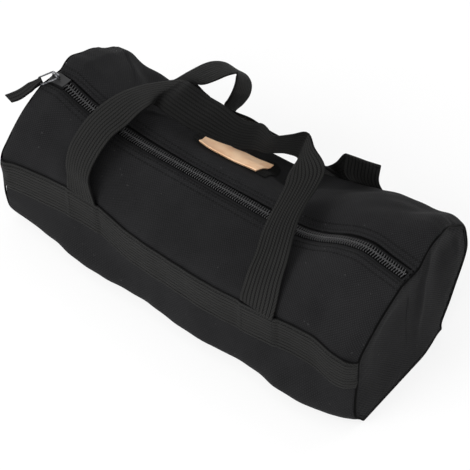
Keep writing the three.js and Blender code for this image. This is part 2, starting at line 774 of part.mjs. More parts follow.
// A solid through rings of points, closed by its two end faces or by running round to the first ring
function ringSolid(rings, round = false) {
  const count = rings[0].length;
  const positions = rings.flat().flatMap((p) => [p.x, p.y, p.z]);
  const index = [];
  const spans = round ? rings.length : rings.length - 1;
  for (let r = 0; r < spans; r++) {
    const here = r * count;
    const next = ((r + 1) % rings.length) * count;
    for (let k = 0; k < count; k++) {
      const turn = (k + 1) % count;
      index.push(here + k, here + turn, next + turn, here + k, next + turn, next + k);
    }
  }
  const last = (rings.length - 1) * count;
  for (let k = 1; k < count - 1 && !round; k++) {
    index.push(0, k + 1, k);
    index.push(last, last + k, last + k + 1);
  }
  const geometry = new THREE.BufferGeometry();
  geometry.setAttribute("position", new THREE.Float32BufferAttribute(positions, 3));
  geometry.setIndex(index);
  return geometry;
}

// Label: a leather patch on a black backing, sewn to the rear flap

function label() {
  const from = rearEdge - labelFar;
  const to = rearEdge - labelNear;
  const low = gap + backing + gap;
  const under = layer(rearLine, from - backingMargin, to, gap, gap + backing, -1, labelLeft, labelRight + backingMargin);
  const over = layer(rearLine, from, to, low, low + leather, -1, labelLeft, labelRight);
  addPiece("label_backing", under, webbingLook);
  addPiece("leather_label", over, leatherLook);
}

basePanel();
sidePanels("front", frontLine, 1);
sidePanels("rear", rearLine, -1);
sideBand("front", frontLine, 1);
sideBand("rear", rearLine, -1);
endPanel("left", -1);
endPanel("right", 1);
endBinding("left", -1);
endBinding("right", 1);
zipTape("front", frontLine, 1);
zipTape("rear", rearLine, -1);
coilHalf("front", -1);
coilHalf("rear", 1);
zipSlider();
pullLink();
pullTab();
strap("front_handle", frontHandleEdges, 54);
strap("rear_handle", rearHandleEdges, 46);
label();

export default bag;
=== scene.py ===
"""Zippered canvas tool bag: the dressed model and its studio."""

import math

import bmesh
import bpy
import numpy as np
from mathutils import Matrix, Vector


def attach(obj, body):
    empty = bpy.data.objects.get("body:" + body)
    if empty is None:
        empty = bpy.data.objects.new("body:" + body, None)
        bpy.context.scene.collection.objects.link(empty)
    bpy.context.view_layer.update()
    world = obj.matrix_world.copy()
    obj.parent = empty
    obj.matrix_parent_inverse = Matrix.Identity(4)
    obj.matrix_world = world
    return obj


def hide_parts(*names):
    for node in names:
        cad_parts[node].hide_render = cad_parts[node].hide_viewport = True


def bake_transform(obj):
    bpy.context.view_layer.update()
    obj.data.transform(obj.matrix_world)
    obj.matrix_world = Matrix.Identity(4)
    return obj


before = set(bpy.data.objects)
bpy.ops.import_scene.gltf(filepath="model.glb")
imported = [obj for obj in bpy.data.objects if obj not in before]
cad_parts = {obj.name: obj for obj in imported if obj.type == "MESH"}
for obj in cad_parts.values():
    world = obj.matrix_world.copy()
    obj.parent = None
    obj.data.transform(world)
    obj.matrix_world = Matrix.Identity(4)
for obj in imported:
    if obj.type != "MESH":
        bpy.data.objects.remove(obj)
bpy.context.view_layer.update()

MM = 0.001

# Sizes shared with the solids, in millimetres
BAG_LENGTH = 430.0
HALF = BAG_LENGTH / 2
CANVAS = 2.4
GAP = 0.3
BASE_FRONT = 64.0
BASE_REAR = 66.0
BAND_LOW = 48.0
BAND_HIGH = 86.0
BAND_THICK = 1.8
BAND_SEAM = 66.0
ZIP_HEIGHT = 130.0
ZIP_TILT = 6.5
FLAP_EDGE = 9.5
CHAIN_FLAT = 13.0
TAPE_INNER = 2.9
TAPE_OUTER = 16.0
TAPE_THICK = 0.8
COIL_PITCH = 2.54
CHAIN_HALF = 5.15
WEBBING = 38.0
STRAP_THICK = 2.4
LEGS = {"front": (-115.2, 107.0), "rear": (-108.0, 108.0)}
LABEL_LEFT = -49.5
LABEL_RIGHT = 17.0
LABEL_NEAR = 29.5
LABEL_FAR = 79.0
LABEL_TURN = 0.12
LEATHER = 2.2
BACKING = 1.2
PANEL_END = HALF - 0.5


# Shape of the bag: a profile for each side, slumped between the stiff ends


def smooth(start, end, value):
    """0 below start, 1 above end, smooth between."""
    t = np.clip((np.asarray(value, float) - start) / (end - start), 0, 1)
    return t * t * (3 - 2 * t)


def spline(points, steps=40):
    """A curve through the points, like the solids' own profiles."""
    p = np.array(points, float)
    out = []
    for i in range(len(p) - 1):
        a, b, c, d = p[max(i - 1, 0)], p[i], p[i + 1], p[min(i + 2, len(p) - 1)]
        for t in np.linspace(0, 1, steps, endpoint=False):
            tangent_b, tangent_c = (c - a) / 2, (d - b) / 2
            out.append(
                (2 * t**3 - 3 * t**2 + 1) * b
                + (t**3 - 2 * t**2 + t) * tangent_b
                + (-2 * t**3 + 3 * t**2) * c
                + (t**3 - t**2) * tangent_c
            )
    out.append(p[-1])
    return np.array(out)


def run_along(points):
    """How far each point lies along the line through them."""
    return np.concatenate([[0], np.cumsum(np.linalg.norm(np.diff(points, axis=0), axis=1))])


def read_rows(places, run, rows):
    """Reads rows, whose places are given by run, at other places."""
    return np.stack([np.interp(places, run, column) for column in rows.T], axis=-1)


class Profile:
    """Half of the bag's end section, from the base seam to the middle of the zip."""

    def __init__(self, points, side):
        line = np.vstack([spline(points), [0.0, ZIP_HEIGHT]])
        self.side = side
        self.line = line
        self.length = run_along(line)
        self.total = self.length[-1]
        tangent = np.gradient(line, axis=0) / np.gradient(self.length)[:, None]
        tangent /= np.hypot(*tangent.T)[:, None]
        normal = np.stack([tangent[:, 1], -tangent[:, 0]], axis=1) * -side
        self.rows = np.hstack([line, normal])

    def at(self, s):
        """A point of the profile and the way out of it."""
        y, z, ny, nz = np.moveaxis(read_rows(s, self.length, self.rows), -1, 0)
        size = np.hypot(ny, nz)
        return y, z, ny / size, nz / size

    def at_height(self, z):
        rising = self.line[: int(np.argmax(self.line[:, 1]))]
        return float(np.interp(z, rising[:, 1], self.length[: len(rising)]))

    def at_zip(self, distance):
        return self.total - distance


FRONT_POINTS = [
    (-BASE_FRONT, 0), (-BASE_FRONT - 14, 14), (-BASE_FRONT - 17, BAND_LOW - 14),
    (-BASE_FRONT - 15, BAND_LOW + 12), (-BASE_FRONT - 13.7, BAND_HIGH), (-BASE_FRONT, BAND_HIGH + 14.5),
    (-BASE_FRONT + 22.5, ZIP_HEIGHT - 14), (-CHAIN_FLAT, ZIP_HEIGHT),
]
REAR_POINTS = [
    (BASE_REAR, 0), (BASE_REAR + 2, 14), (BASE_REAR + 14, BAND_LOW - 6),
    (BASE_REAR + 30, BAND_HIGH - 8), (BASE_REAR + 31, BAND_HIGH + 22), (BASE_REAR + 13, ZIP_HEIGHT - 8),
    (BASE_REAR - 8, ZIP_HEIGHT + 6), (BASE_REAR - 36, ZIP_HEIGHT + 11), (CHAIN_FLAT, ZIP_HEIGHT),
]
FRONT = Profile(FRONT_POINTS, 1)
REAR = Profile(REAR_POINTS, -1)
SIDES = {"front": FRONT, "rear": REAR}

# Rows of place along the bag, as a share of half its length, and distance: how far the chain hangs
# below the taut zip, and the front and the rear stand off a straight side. The belly is a share of y.
ZIP_SAG = [
    (-0.895, 0), (-0.82, 7.4), (-0.745, 12.9), (-0.6, 19.2), (-0.4, 22), (0, 21.2),
    (0.42, 20.4), (0.54, 12.5), (0.67, -1.9), (0.78, -8.3), (0.88, -4.6), (1, 0),
]
FRONT_WAVE = [
    (-1, 2), (-0.75, -6.5), (-0.5, -9), (-0.25, 0.5), (0, 3.8),
    (0.25, 6.2), (0.5, 2.1), (0.75, -2.8), (0.92, 3.7), (1, -2.2),
]
FRONT_BELLY = [(-1, -0.02), (-0.5, 0.145), (0, 0.18), (0.5, 0.207), (0.85, 0.22), (1, 0)]
REAR_LEAN = [
    (-1, -9.4), (-0.8, -4.2), (-0.6, -3), (0, 0), (0.24, -8),
    (0.45, 3.5), (0.6, 4.3), (0.8, -4), (0.93, 8.5), (1, 7.5),
]
REAR_SAG = 8.0
WAIST = 0.16
SHOULDER = 0.14
SLUMP_MIDDLE = -0.023
SLUMP_WIDTH = 0.395

# Heights over which the front's belly and wave and the rear's waist come in and fade, and the
# distances from the middle over which the rear's lean comes in
BELLY_IN, BELLY_OUT = (0, 12), (14, BAND_LOW)
WAVE_IN, WAVE_OUT = (10, BAND_LOW - 4), (BAND_HIGH + 6, ZIP_HEIGHT - 6)
WAIST_IN = (30, 84)
LEAN_IN = (CHAIN_FLAT, 50)

# Soft corners next to the end seams: how far the cloth moves, and where the move comes in and fades
END_ZONE, SHORT_END_ZONE, EAR_ZONE = (184, HALF), (190, HALF), (186, HALF)
RIGHT_CORNER, LEFT_CORNER, CORNER_OUT = 5.7, 3.2, (4, 56)
BULGE, BULGE_OUT, BULGE_REAR = 5.0, (2, 50), (20, BASE_REAR)
SWELL, SWELL_IN, SWELL_OUT, SWELL_FRONT = 2.0, (30, 60), (112, 136), (-4, 20)
TUCK, TUCK_OUT, TUCK_REAR = 4.0, (4, 34), (40, BASE_REAR)
EAR, EAR_HIGH, EAR_REAR = 4.2, (84, 112), (42, 74)

# Ripples over all the cloth: height, wave length, turn and phase
RIPPLES = [(0.55, 131, 0.5, 0), (0.4, 83, -0.7, 1), (0.28, 47, 1.2, 2), (0.18, 29, 0.2, 3)]
PHASE = {"front": 0.0, "rear": 2.1}

# Gathers along the end seams: height and wave length, and how far they reach
GATHERS, GATHER_REACH = [(0.45, 3.1), (0.3, 1.9)], 14

# The groove of an end seam and the draw of the cloth beside it: depth and width
SIDE_GROOVE = [(2.8, 1.5), (0.9, 7)]
END_GROOVE = [(2.6, 1.9), (1.0, 8)]

# Folds and dents: start and end, in x and length along the profile, then width and height
FOLDS = {
    "front": [
        ((-150, 20), (-40, 34), 9, 2.2),
        ((-30, 30), (90, 22), 8, 1.6),
        ((110, 18), (200, 36), 9, 1.8),
        ((-190, 118), (-112, 146), 10, -1.8),
        ((-60, 150), (60, 162), 7, 0.9),
        ((150, 100), (196, 150), 9, -1.4),
    ],
    "rear": [
        ((-212, 118), (-140, 175), 10, 3.4),
        ((-212, 118), (-138, 177), 1.9, -2.4),
        ((-196, 104), (-118, 168), 11, -3.6),
        ((-34, 134), (26, 118), 15, 5.0),
        ((18, 98), (56, 170), 13, -8.5),
        ((-192, 214), (-148, 206), 4, 2.4),
        ((-180, 222), (-140, 214), 4, -1.6),
        ((-128, 202), (-52, 168), 6, 4.6),
        ((-122, 176), (-44, 140), 11, -5.5),
        ((95, 196), (160, 120), 10, 2.2),
        ((120, 200), (196, 140), 8, -1.6),
    ],
}


def between(value, rise, fall):
    """0 outside two ranges and 1 between them."""
    return smooth(*rise, value) * (1 - smooth(*fall, value))


def bell(distance, width):
    """1 at no distance, and next to nothing beyond twice the width."""
    return np.exp(-((distance / width) ** 2))


def through(rows, share):
    """Smooth through the rows, and level beyond the first and the last."""
    places, values = np.array(rows, float).T
    before = np.maximum(np.arange(len(places)) - 1, 0)
    after = np.minimum(np.arange(len(places)) + 1, len(places) - 1)
    slope = (values[after] - values[before]) / (places[after] - places[before])
    share = np.clip(share, places[0], places[-1])
    i = np.clip(np.searchsorted(places, share), 1, len(places) - 1)
    width = places[i] - places[i - 1]
    t = (share - places[i - 1]) / width
    rise = (3 - 2 * t) * t * t
    ends = t * (1 - t) ** 2 * width * slope[i - 1] + t * t * (t - 1) * width * slope[i]
    return values[i - 1] + (values[i] - values[i - 1]) * rise + ends


def zip_taut(x):
    """How much higher the taut zip is than its right end."""
    return ZIP_TILT * (HALF - x) / BAG_LENGTH


def zip_rise(x):
    return zip_taut(x) - through(ZIP_SAG, x / HALF)


def rear_slump(x):
    return bell(x / HALF - SLUMP_MIDDLE, SLUMP_WIDTH)


def slump(x, y, z):
    """Moves a point of the straight shape to where the soft bag has it."""
    share = x / HALF
    low = between(z, BELLY_IN, BELLY_OUT)
    middle = between(z, WAVE_IN, WAVE_OUT)
    high = smooth(BAND_HIGH, ZIP_HEIGHT, z)
    front = y * (1 + through(FRONT_BELLY, share) * low) - through(FRONT_WAVE, share) * middle
    inwards = rear_slump(x) * (WAIST * smooth(*WAIST_IN, z) + SHOULDER * high)
    lift = (through(REAR_LEAN, share) - REAR_SAG * rear_slump(x)) * smooth(*LEAN_IN, y)
    rise = zip_rise(x) + np.where(y > 0, lift, 0)
    corner = RIGHT_CORNER * smooth(*END_ZONE, x) + LEFT_CORNER * smooth(*END_ZONE, -x)
    corner = corner * (1 - smooth(*CORNER_OUT, z))
    front = front - corner * smooth(0, BASE_FRONT, -y)
    bulge = BULGE * smooth(*END_ZONE, x) * (1 - smooth(*BULGE_OUT, z)) * (1 - smooth(*BULGE_REAR, y))
    swell = SWELL * smooth(*SHORT_END_ZONE, -x) * smooth(*SWELL_IN, z)
    swell = swell * (1 - smooth(*SWELL_OUT, z)) * smooth(*SWELL_FRONT, -y)
    swell = swell + EAR * smooth(*EAR_ZONE, x) * smooth(*EAR_REAR, y) * smooth(*EAR_HIGH, z)
    tuck = TUCK * smooth(*SHORT_END_ZONE, x) * (1 - smooth(*TUCK_OUT, z)) * smooth(*TUCK_REAR, y)
    rear = y * (1 - inwards) - tuck
    return np.stack([x + bulge - swell, np.where(y > 0, rear, front), z + rise * high], axis=-1)


def ridge(x, s, start, end, width, height):
    """A soft fold of that height along a line from start to end, in x and length along the profile."""
    start, end = np.array(start, float), np.array(end, float)
    run = end - start
    span = np.hypot(*run)
    along = ((x - start[0]) * run[0] + (s - start[1]) * run[1]) / span
    aside = ((x - start[0]) * -run[1] + (s - start[1]) * run[0]) / span
    taper = between(along, (0, 0.3 * span), (0.7 * span, span))
    return height * taper * bell(aside, width)


def ripple(x, s, wave, turn, phase):
    return np.sin(2 * math.pi * (x * math.cos(turn) + s * math.sin(turn)) / wave + phase)


def relief(side, x, s):
    """How far the cloth stands out from the plain shape, in millimetres."""
    profile = SIDES[side]
    t = PHASE[side]
    out = sum(height * ripple(x, s, wave, turn, phase + t) for height, wave, turn, phase in RIPPLES)
    seam = HALF - np.abs(x)
    waves = sum(height * np.sin(s / wave + k * t) for k, (height, wave) in enumerate(GATHERS, 1))
    out = out + np.exp(-seam / GATHER_REACH) * waves * smooth(0, 30, profile.total - s)
    for depth, width in SIDE_GROOVE:
        out = out - depth * bell(seam, width)
    for fold in FOLDS[side]:
        out = out + ridge(x, s, *fold)
    calm = smooth(0, 8, s) * smooth(2, 14, profile.total - s)
    return out * calm


def skin(side, x, s, out):
    """A point of a side at x, at length s of its profile and that far out of the canvas."""
    x, s = np.broadcast_arrays(np.asarray(x, float), np.asarray(s, float))
    y, z, ny, nz = SIDES[side].at(s)
    far = out + relief(side, x, s)
    return slump(x, y + ny * far, z + nz * far)


# Shader maths


def operator(operation, reflected=False):
    """A method that adds one Math node."""

    def method(self, *others):
        values = (*others, self) if reflected else (self, *others)
        return self.finish.node("ShaderNodeMath", {"operation": operation}, dict(enumerate(values)))

    return method


class Value:
    """A socket that adds Math nodes when it is used in an expression."""

    def __init__(self, finish, socket):
        self.finish = finish
        self.socket = socket

    __add__ = operator("ADD")
    __radd__ = operator("ADD", reflected=True)
    __sub__ = operator("SUBTRACT")
    __rsub__ = operator("SUBTRACT", reflected=True)
    __mul__ = operator("MULTIPLY")
    __rmul__ = operator("MULTIPLY", reflected=True)
    __truediv__ = operator("DIVIDE")
    sin = operator("SINE")
    fract = operator("FRACT")
    floor = operator("FLOOR")
    absolute = operator("ABSOLUTE")
    modulo = operator("FLOORED_MODULO")
    at_least = operator("MAXIMUM")

    def band(self, low, high):
        """0 below low, 1 above high, smooth between."""
        return self.finish.node(
            "ShaderNodeMapRange",
            {"interpolation_type": "SMOOTHSTEP"},
            {"Value": self, "From Min": low, "From Max": high},
        )


class Finish:
    """A material under construction."""

    def __init__(self, name):
        self.material = bpy.data.materials.new(name)
        self.material.use_nodes = True
        self.tree = self.material.node_tree
        self.shader = self.tree.nodes["Principled BSDF"]

    def node(self, kind, settings=None, inputs=None, output=0):
        made = self.tree.nodes.new(kind)
        for key, value in (settings or {}).items():
            setattr(made, key, value)
        for key, value in (inputs or {}).items():
            self.feed(made.inputs[key], value)
        return Value(self, made.outputs[output])

    def feed(self, socket, value):
        if isinstance(value, Value):
            self.tree.links.new(value.socket, socket)
        elif isinstance(value, (tuple, list)) and len(value) == 3 and socket.type == "RGBA":
            socket.default_value = (*value, 1)
        else:
            socket.default_value = value

    def set(self, **inputs):
        """Feeds the shader, and returns the material."""
        for key, value in inputs.items():
            self.feed(self.shader.inputs[key.replace("_", " ")], value)
        return self.material

    def place(self):
        return self.node("ShaderNodeTexCoord", output="Object")

    def part(self, vector, axis):
        return self.node("ShaderNodeSeparateXYZ", {}, {0: vector}, axis)

    def surface(self):
        """The piece's own map, in millimetres along and across it."""
        uv = self.node("ShaderNodeUVMap", {"uv_map": "cut"})
        return self.part(uv, 0) / MM, self.part(uv, 1) / MM

    def noise(self, vector, scale, detail=2.0, rough=0.5):
        inputs = {"Vector": vector, "Scale": scale, "Detail": detail, "Roughness": rough}
        return self.node("ShaderNodeTexNoise", {}, inputs)

    def mix(self, share, first, second):
        """A colour between first and second."""
        inputs = {"Factor": share, 6: first, 7: second}
        return self.node("ShaderNodeMix", {"data_type": "RGBA"}, inputs, 2)

    def bump(self, height, distance, strength, normal=None):
        inputs = {"Height": height, "Distance": distance, "Strength": strength}
        if normal is not None:
            inputs["Normal"] = normal
        return self.node("ShaderNodeBump", {}, inputs)


HEM_ROWS = (3.2, 8.6)
HEM_PITCH = 3.8
HEM_REACH = 1.7
HEM_STITCH = 0.85
THREAD_PITCH = 1.35
CANVAS_DARK = (0.0016, 0.0016, 0.0018)
CANVAS_LIGHT = (0.0195, 0.0195, 0.0205)
LINT = (0.09, 0.09, 0.09)
PUCKER_SHADE = (0.0008, 0.0008, 0.001)
RIB_PITCH = 3.8
TWILL_PITCH = 2.3
WEBBING_DARK = (0.001, 0.001, 0.001)
WEBBING_LIGHT = (0.0198, 0.0198, 0.0191)
TAPE_SHADE = (0.0006, 0.0006, 0.0007)
THREAD_DARK, THREAD_LIGHT = 0.003, 0.013


def canvas_finish(name, hem=False):
    """Plain weave: threads over and under, with slubs and lint, and two sewn rows along a hem with painted
    shade in their puckers.
    """
    finish = Finish(name)
    u, v = finish.surface()
    place = finish.place()
    cell_u = u / THREAD_PITCH
    cell_v = v / THREAD_PITCH
    over = (cell_u.floor() + cell_v.floor()).modulo(2.0)
    warp = (cell_u * math.pi).sin().absolute()
    weft = (cell_v * math.pi).sin().absolute()
    weave = warp * over + weft * (1 - over)
    slub = finish.noise(place, 900)
    cloudy = finish.noise(place, 28, 4, 0.6)
    fibre = finish.noise(place, 3200, 2, 0.7)
    height = weave * (0.7 + 0.5 * slub) + 0.35 * fibre
    tone = (weave * 0.45 + over * 0.3 + slub * 0.4 + cloudy * 0.4).band(0.3, 1.3)
    colour = finish.mix(tone, CANVAS_DARK, CANVAS_LIGHT)
    lint = fibre.band(0.7, 0.78) * slub.band(0.5, 0.6)
    speck = finish.noise(place, 300, 0).band(0.835, 0.86)
    colour = finish.mix((lint * 0.3).at_least(speck * 0.24), colour, LINT)
    if hem:
        pull = ((u / HEM_PITCH) * math.pi).sin().absolute()
        for row in HEM_ROWS:
            near = (1 - (v + row).absolute() / HEM_REACH).at_least(0.0)
            height = height - near * (1.4 - pull)
            # Painted shade in the puckers between the stitches of each row.
            colour = finish.mix(near * (1 - pull) * 0.75, colour, PUCKER_SHADE)
    soft = finish.bump(cloudy, 0.0012, 0.35)
    return finish.set(
        Base_Color=colour,
        Roughness=0.82 + 0.12 * slub,
        Normal=finish.bump(height, 0.00022, 0.8, soft),
        Sheen_Weight=0.02,
        Sheen_Roughness=0.5,
        Specular_IOR_Level=0.08,
    )


def webbing_finish(name, dark=1.0):
    """Herringbone webbing: lengthwise columns whose diagonals turn at each rib."""
    finish = Finish(name)
    u, v = finish.surface()
    place = finish.place()
    column = v / RIB_PITCH
    side = column.floor().modulo(2.0) * 2.0 - 1.0
    diagonal = (u / TWILL_PITCH + v * side / TWILL_PITCH).fract()
    thread = (diagonal * math.pi).sin()
    groove = ((column.fract() - 0.5).absolute()).band(0.28, 0.46)
    pick = ((u / 0.75) * math.pi).sin().absolute()
    fibre = finish.noise(place, 2600, 2, 0.6)
    cloudy = finish.noise(place, 30, 3)
    height = thread * 0.7 + pick * 0.25 - groove * 0.8 + 0.3 * fibre
    tone = (thread * 0.55 + fibre * 0.35 + cloudy * 0.25 - groove * 0.6).band(0.0, 0.95)
    low, high = (tuple(c * dark for c in colour) for colour in (WEBBING_DARK, WEBBING_LIGHT))
    return finish.set(
        Base_Color=finish.mix(tone, low, high),
        Roughness=0.68 + 0.14 * fibre,
        Normal=finish.bump(height, 0.0005, 0.9),
        Sheen_Weight=0.02,
        Sheen_Roughness=0.4,
        Specular_IOR_Level=0.1,
    )


def tape_finish():
    """Ribbed tape, painted with deep shade under the chain and under the folded edges beside it."""
    finish = Finish("zip_tape")
    u, v = finish.surface()
    place = finish.place()
    rib = ((v / 0.9) * math.pi).sin().absolute()
    pick = ((u / 0.7) * math.pi).sin().absolute()
    fibre = finish.noise(place, 2400)
    aside = v.absolute()
    beside_chain = aside.band(CHAIN_HALF, CHAIN_HALF + 0.5)
    open_cloth = beside_chain * (1 - aside.band(FLAP_EDGE - 1.7, FLAP_EDGE - 1.0))
    bright = finish.mix(rib * 0.6 + fibre * 0.4, (0.004, 0.004, 0.0045), (0.021, 0.021, 0.0218))
    return finish.set(
        # Painted shade: near black under the chain's strands and under the folded flap edges, ribbed grey
        # only where the tape lies open.
        Base_Color=finish.mix(open_cloth, TAPE_SHADE, bright),
        Roughness=0.8 + 0.1 * fibre,
        Normal=finish.bump(rib * 0.7 + pick * 0.4 + fibre * 0.2, 0.00025, 0.8),
        Sheen_Weight=0.02,
        Specular_IOR_Level=0.08,
    )


def coil_finish():
    finish = Finish("zip_coil")
    place = finish.place()
    scuff = finish.noise(place, 420, 3)
    fine = finish.noise(place, 3000)
    return finish.set(
        Base_Color=finish.mix(scuff, (0.028, 0.028, 0.0285), (0.1, 0.1, 0.103)),
        Roughness=0.3 + 0.25 * scuff,
        Normal=finish.bump(fine, 0.00005, 0.4),
        Specular_IOR_Level=0.35,
    )


ENAMEL_TOP = 139.2


def metal_finish(name, enamel=False):
    """Bright worn metal, under dark enamel up to the slider's crown where enamel is set."""
    finish = Finish(name)
    place = finish.place()
    worn = finish.noise(place, 260, 4, 0.6)
    fine = finish.noise(place, 2500)
    finish.set(
        Base_Color=finish.mix(worn.band(0.4, 0.65), (0.1, 0.1, 0.11), (0.42, 0.43, 0.45)),
        Roughness=0.22 + 0.25 * worn,
        Metallic=1.0,
        Normal=finish.bump(fine, 0.00004, 0.4),
    )
    if enamel:
        height = finish.part(place, 2) + worn * 0.0012
        bare = height.band(ENAMEL_TOP * MM, (ENAMEL_TOP + 0.5) * MM)
        bright = finish.mix(worn.band(0.35, 0.6), (0.12, 0.12, 0.13), (0.5, 0.5, 0.52))
        dark = finish.mix(worn, (0.006, 0.006, 0.0065), (0.016, 0.016, 0.017))
        finish.set(
            Base_Color=finish.mix(bare, dark, bright),
            Roughness=0.38 - 0.12 * bare + 0.1 * worn,
            Metallic=bare,
        )
    return finish.material


def thread_finish(name, dark=1.0):
    finish = Finish(name)
    place = finish.place()
    ply = finish.noise(place, 2200)
    return finish.set(
        Base_Color=finish.mix(ply, (THREAD_DARK * dark,) * 3, (THREAD_LIGHT * dark,) * 3),
        Roughness=0.6 + 0.2 * ply,
        Normal=finish.bump(ply, 0.00012, 0.6),
        Specular_IOR_Level=0.06,
    )


def leather_finish(name, low, high):
    finish = Finish(name)
    place = finish.place()
    grain = finish.node("ShaderNodeTexVoronoi", {}, {"Vector": place, "Scale": 1500.0})
    cloudy = finish.noise(place, 60, 4, 0.6)
    fine = finish.noise(place, 2200)
    return finish.set(
        Base_Color=finish.mix(cloudy.band(0.3, 0.72), low, high),
        Roughness=0.5 + 0.18 * fine,
        Normal=finish.bump(grain * 0.6 + fine * 0.4, 0.00012, 0.55),
    )


FINISH = {
    "canvas": canvas_finish("canvas"),
    "hemmed": canvas_finish("hemmed_canvas", True),
    "webbing": webbing_finish("webbing"),
    # A near-black copy of the webbing for the label's backing, partly painted shadow.
    "backing": webbing_finish("label_backing", 0.3),
    # A darker copy of the webbing: painted shade on the handles' inner faces.
    "painted_shade_webbing": webbing_finish("painted_shade_webbing", 0.36),
    "tape": tape_finish(),
    "coil": coil_finish(),
    "metal": metal_finish("gunmetal"),
    "slider": metal_finish("enamelled_slider", True),
    "thread": thread_finish("thread"),
    # Near-black thread finish for the cords that paint the shade in the end seams.
    "seam": thread_finish("seam_shade_cord", 0.08),
    "leather": leather_finish("tan_leather", (0.86, 0.52, 0.3), (0.97, 0.68, 0.44)),
    "leather_edge": leather_finish("leather_edge", (0.06, 0.025, 0.012), (0.14, 0.06, 0.03)),
}


# Cloth pieces


RIM_SHARE = 0.35
THREAD_SLOT = 1
STITCH_SHARE = 0.74
STITCH_FLATNESS = 0.62


def stops(start, end, step, rim):
    """Places from start to end, with a narrow first and last step where rim is above zero."""
    count = max(2, int(round(abs(end - start) / step)))
    inner = np.linspace(start + rim, end - rim, count + 1)
    return np.concatenate([[start], inner, [end]]) if rim > 0 else inner


def to_mesh(name, bm):
    mesh = bpy.data.meshes.new(name)
    bm.to_mesh(mesh)
    bm.free()
    return mesh


def new_object(name, data):
    obj = bpy.data.objects.new(name, data)
    bpy.context.scene.collection.objects.link(obj)
    return obj


def double_grid(columns, rows):
    """Two joined unit sheets, one above the other, and the places of their vertices."""
    bm = bmesh.new()
    bmesh.ops.create_grid(bm, x_segments=columns, y_segments=rows, size=0.5)
    made = bmesh.ops.extrude_face_region(bm, geom=bm.faces[:])["geom"]
    over = [g for g in made if isinstance(g, bmesh.types.BMVert)]
    bmesh.ops.translate(bm, verts=over, vec=(0, 0, 1))
    return bm, np.array([v.co for v in bm.verts]) + (0.5, 0.5, 0)


def shape_grid(bm, spots, u, v):
    """Moves the vertices to their spots, and maps them by u and v."""
    layer = bm.loops.layers.uv.new("cut")
    for vert, spot in zip(bm.verts, spots):
        vert.co = spot
    for face in bm.faces:
        face.smooth = True
        for loop in face.loops:
            k = loop.vert.index
            loop[layer].uv = (u[k] * MM, v[k] * MM)


def laid_grid(place, along, across, low, high, rim_slot=0, under_slot=0):
    """A closed sheet from low to high: place(a, b, out) puts each point, and its rims are rounded.

    along and across are lists of places. The slots are the finishes of the rim and the under side.
    """
    columns, rows = len(along) - 1, len(across) - 1
    bm, co = double_grid(columns, rows)
    i = np.rint(co[:, 0] * columns).astype(int)
    j = np.rint(co[:, 1] * rows).astype(int)
    a, b = along[i], across[j]
    upper = co[:, 2] > 0.5
    rim = (i == 0) | (i == columns) | (j == 0) | (j == rows)
    half = (high - low) / 2 * np.where(rim, RIM_SHARE, 1.0)
    out = (high + low) / 2 + np.where(upper, half, -half)
    shape_grid(bm, place(a, b, out), a, b)
    for face in bm.faces:
        count = sum(upper[v.index] for v in face.verts)
        if count < len(face.verts):
            face.material_index = rim_slot if count else under_slot
    bmesh.ops.recalc_face_normals(bm, faces=bm.faces[:])
    return bm


def shift_map(bm, across):
    """Measures a sheet's map across from that place."""
    layer = bm.loops.layers.uv["cut"]
    for face in bm.faces:
        for loop in face.loops:
            loop[layer].uv.y -= across * MM


def stitch_template():
    """One stitch, a unit long, that every sewn row repeats."""
    bm = bmesh.new()
    bmesh.ops.create_uvsphere(bm, u_segments=5, v_segments=4, radius=0.5)
    bmesh.ops.rotate(bm, verts=bm.verts[:], matrix=Matrix.Rotation(math.pi / 2, 3, "Y"))
    return to_mesh("stitch", bm)


STITCH = stitch_template()


def add_copy(bm, mesh, matrix):
    """Adds a turned and moved copy of the mesh, and returns its faces."""
    verts, faces = len(bm.verts), len(bm.faces)
    bm.from_mesh(mesh)
    bmesh.ops.transform(bm, matrix=matrix, verts=bm.verts[verts:])
    return bm.faces[faces:]


def add_stitches(bm, points, ups, width):
    """A row of thread stitches from each point to the next."""
    for k in range(len(points) - 1):
        start, end = Vector(points[k]), Vector(points[k + 1])
        along = end - start
        up = Vector(ups[k]).normalized()
        across = up.cross(along).normalized()
        length = along.length * STITCH_SHARE
        axes = (along.normalized() * length, across * width, up * width * STITCH_FLATNESS)
        turn = Matrix(axes).transposed().to_4x4()
        for face in add_copy(bm, STITCH, Matrix.Translation((start + end) / 2) @ turn):
            face.material_index = THREAD_SLOT
            face.smooth = True


def stitch_line(bm, place, a, b, out, pitch=3.4, width=0.75):
    """Stitches along a path given by arrays a and b on a laid surface."""
    path = place(a, b, out)
    lift = place(a, b, out + 1.0) - path
    run = run_along(path)
    marks = np.linspace(0, run[-1], int(run[-1] // pitch) + 1)
    add_stitches(bm, read_rows(marks, run, path), read_rows(marks, run, lift), width)


def piece(name, bm, finishes):
    """The object for a bmesh in millimetres."""
    bmesh.ops.scale(bm, vec=(MM, MM, MM), verts=bm.verts[:])
    obj = new_object(name, to_mesh(name, bm))
    for finish in finishes:
        obj.data.materials.append(FINISH[finish])
    return obj


def dress(name, bm, finishes, node, body):
    """A piece that takes the place of one node and rides on one body."""
    obj = piece(name, bm, finishes)
    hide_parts(node)
    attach(obj, body)


def halves(name, bm, finishes, node):
    """Cuts a long piece at the middle of the bag into a left and a right half, which keep the normals of
    the whole piece.
    """
    bm.normal_update()
    keep = bm.verts.layers.float_vector.new("rest_normal")
    for vert in bm.verts:
        vert[keep] = vert.normal
    for side, label in ((-1, "left"), (1, "right")):
        half = bm.copy()
        gone = [f for f in half.faces if f.calc_center_median().x * side < 0]
        bmesh.ops.delete(half, geom=gone, context="FACES")
        layer = half.verts.layers.float_vector["rest_normal"]
        normals = [v[layer].copy() for v in half.verts]
        half.verts.layers.float_vector.remove(layer)
        obj = piece(f"{name}_{label}", half, finishes)
        obj.data.normals_split_custom_set_from_vertices(normals)
        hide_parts(node)
        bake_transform(obj)
    bm.free()


LENGTH_STEP = 2.3
ROW_POINTS = 240
FLUSH = 0.05


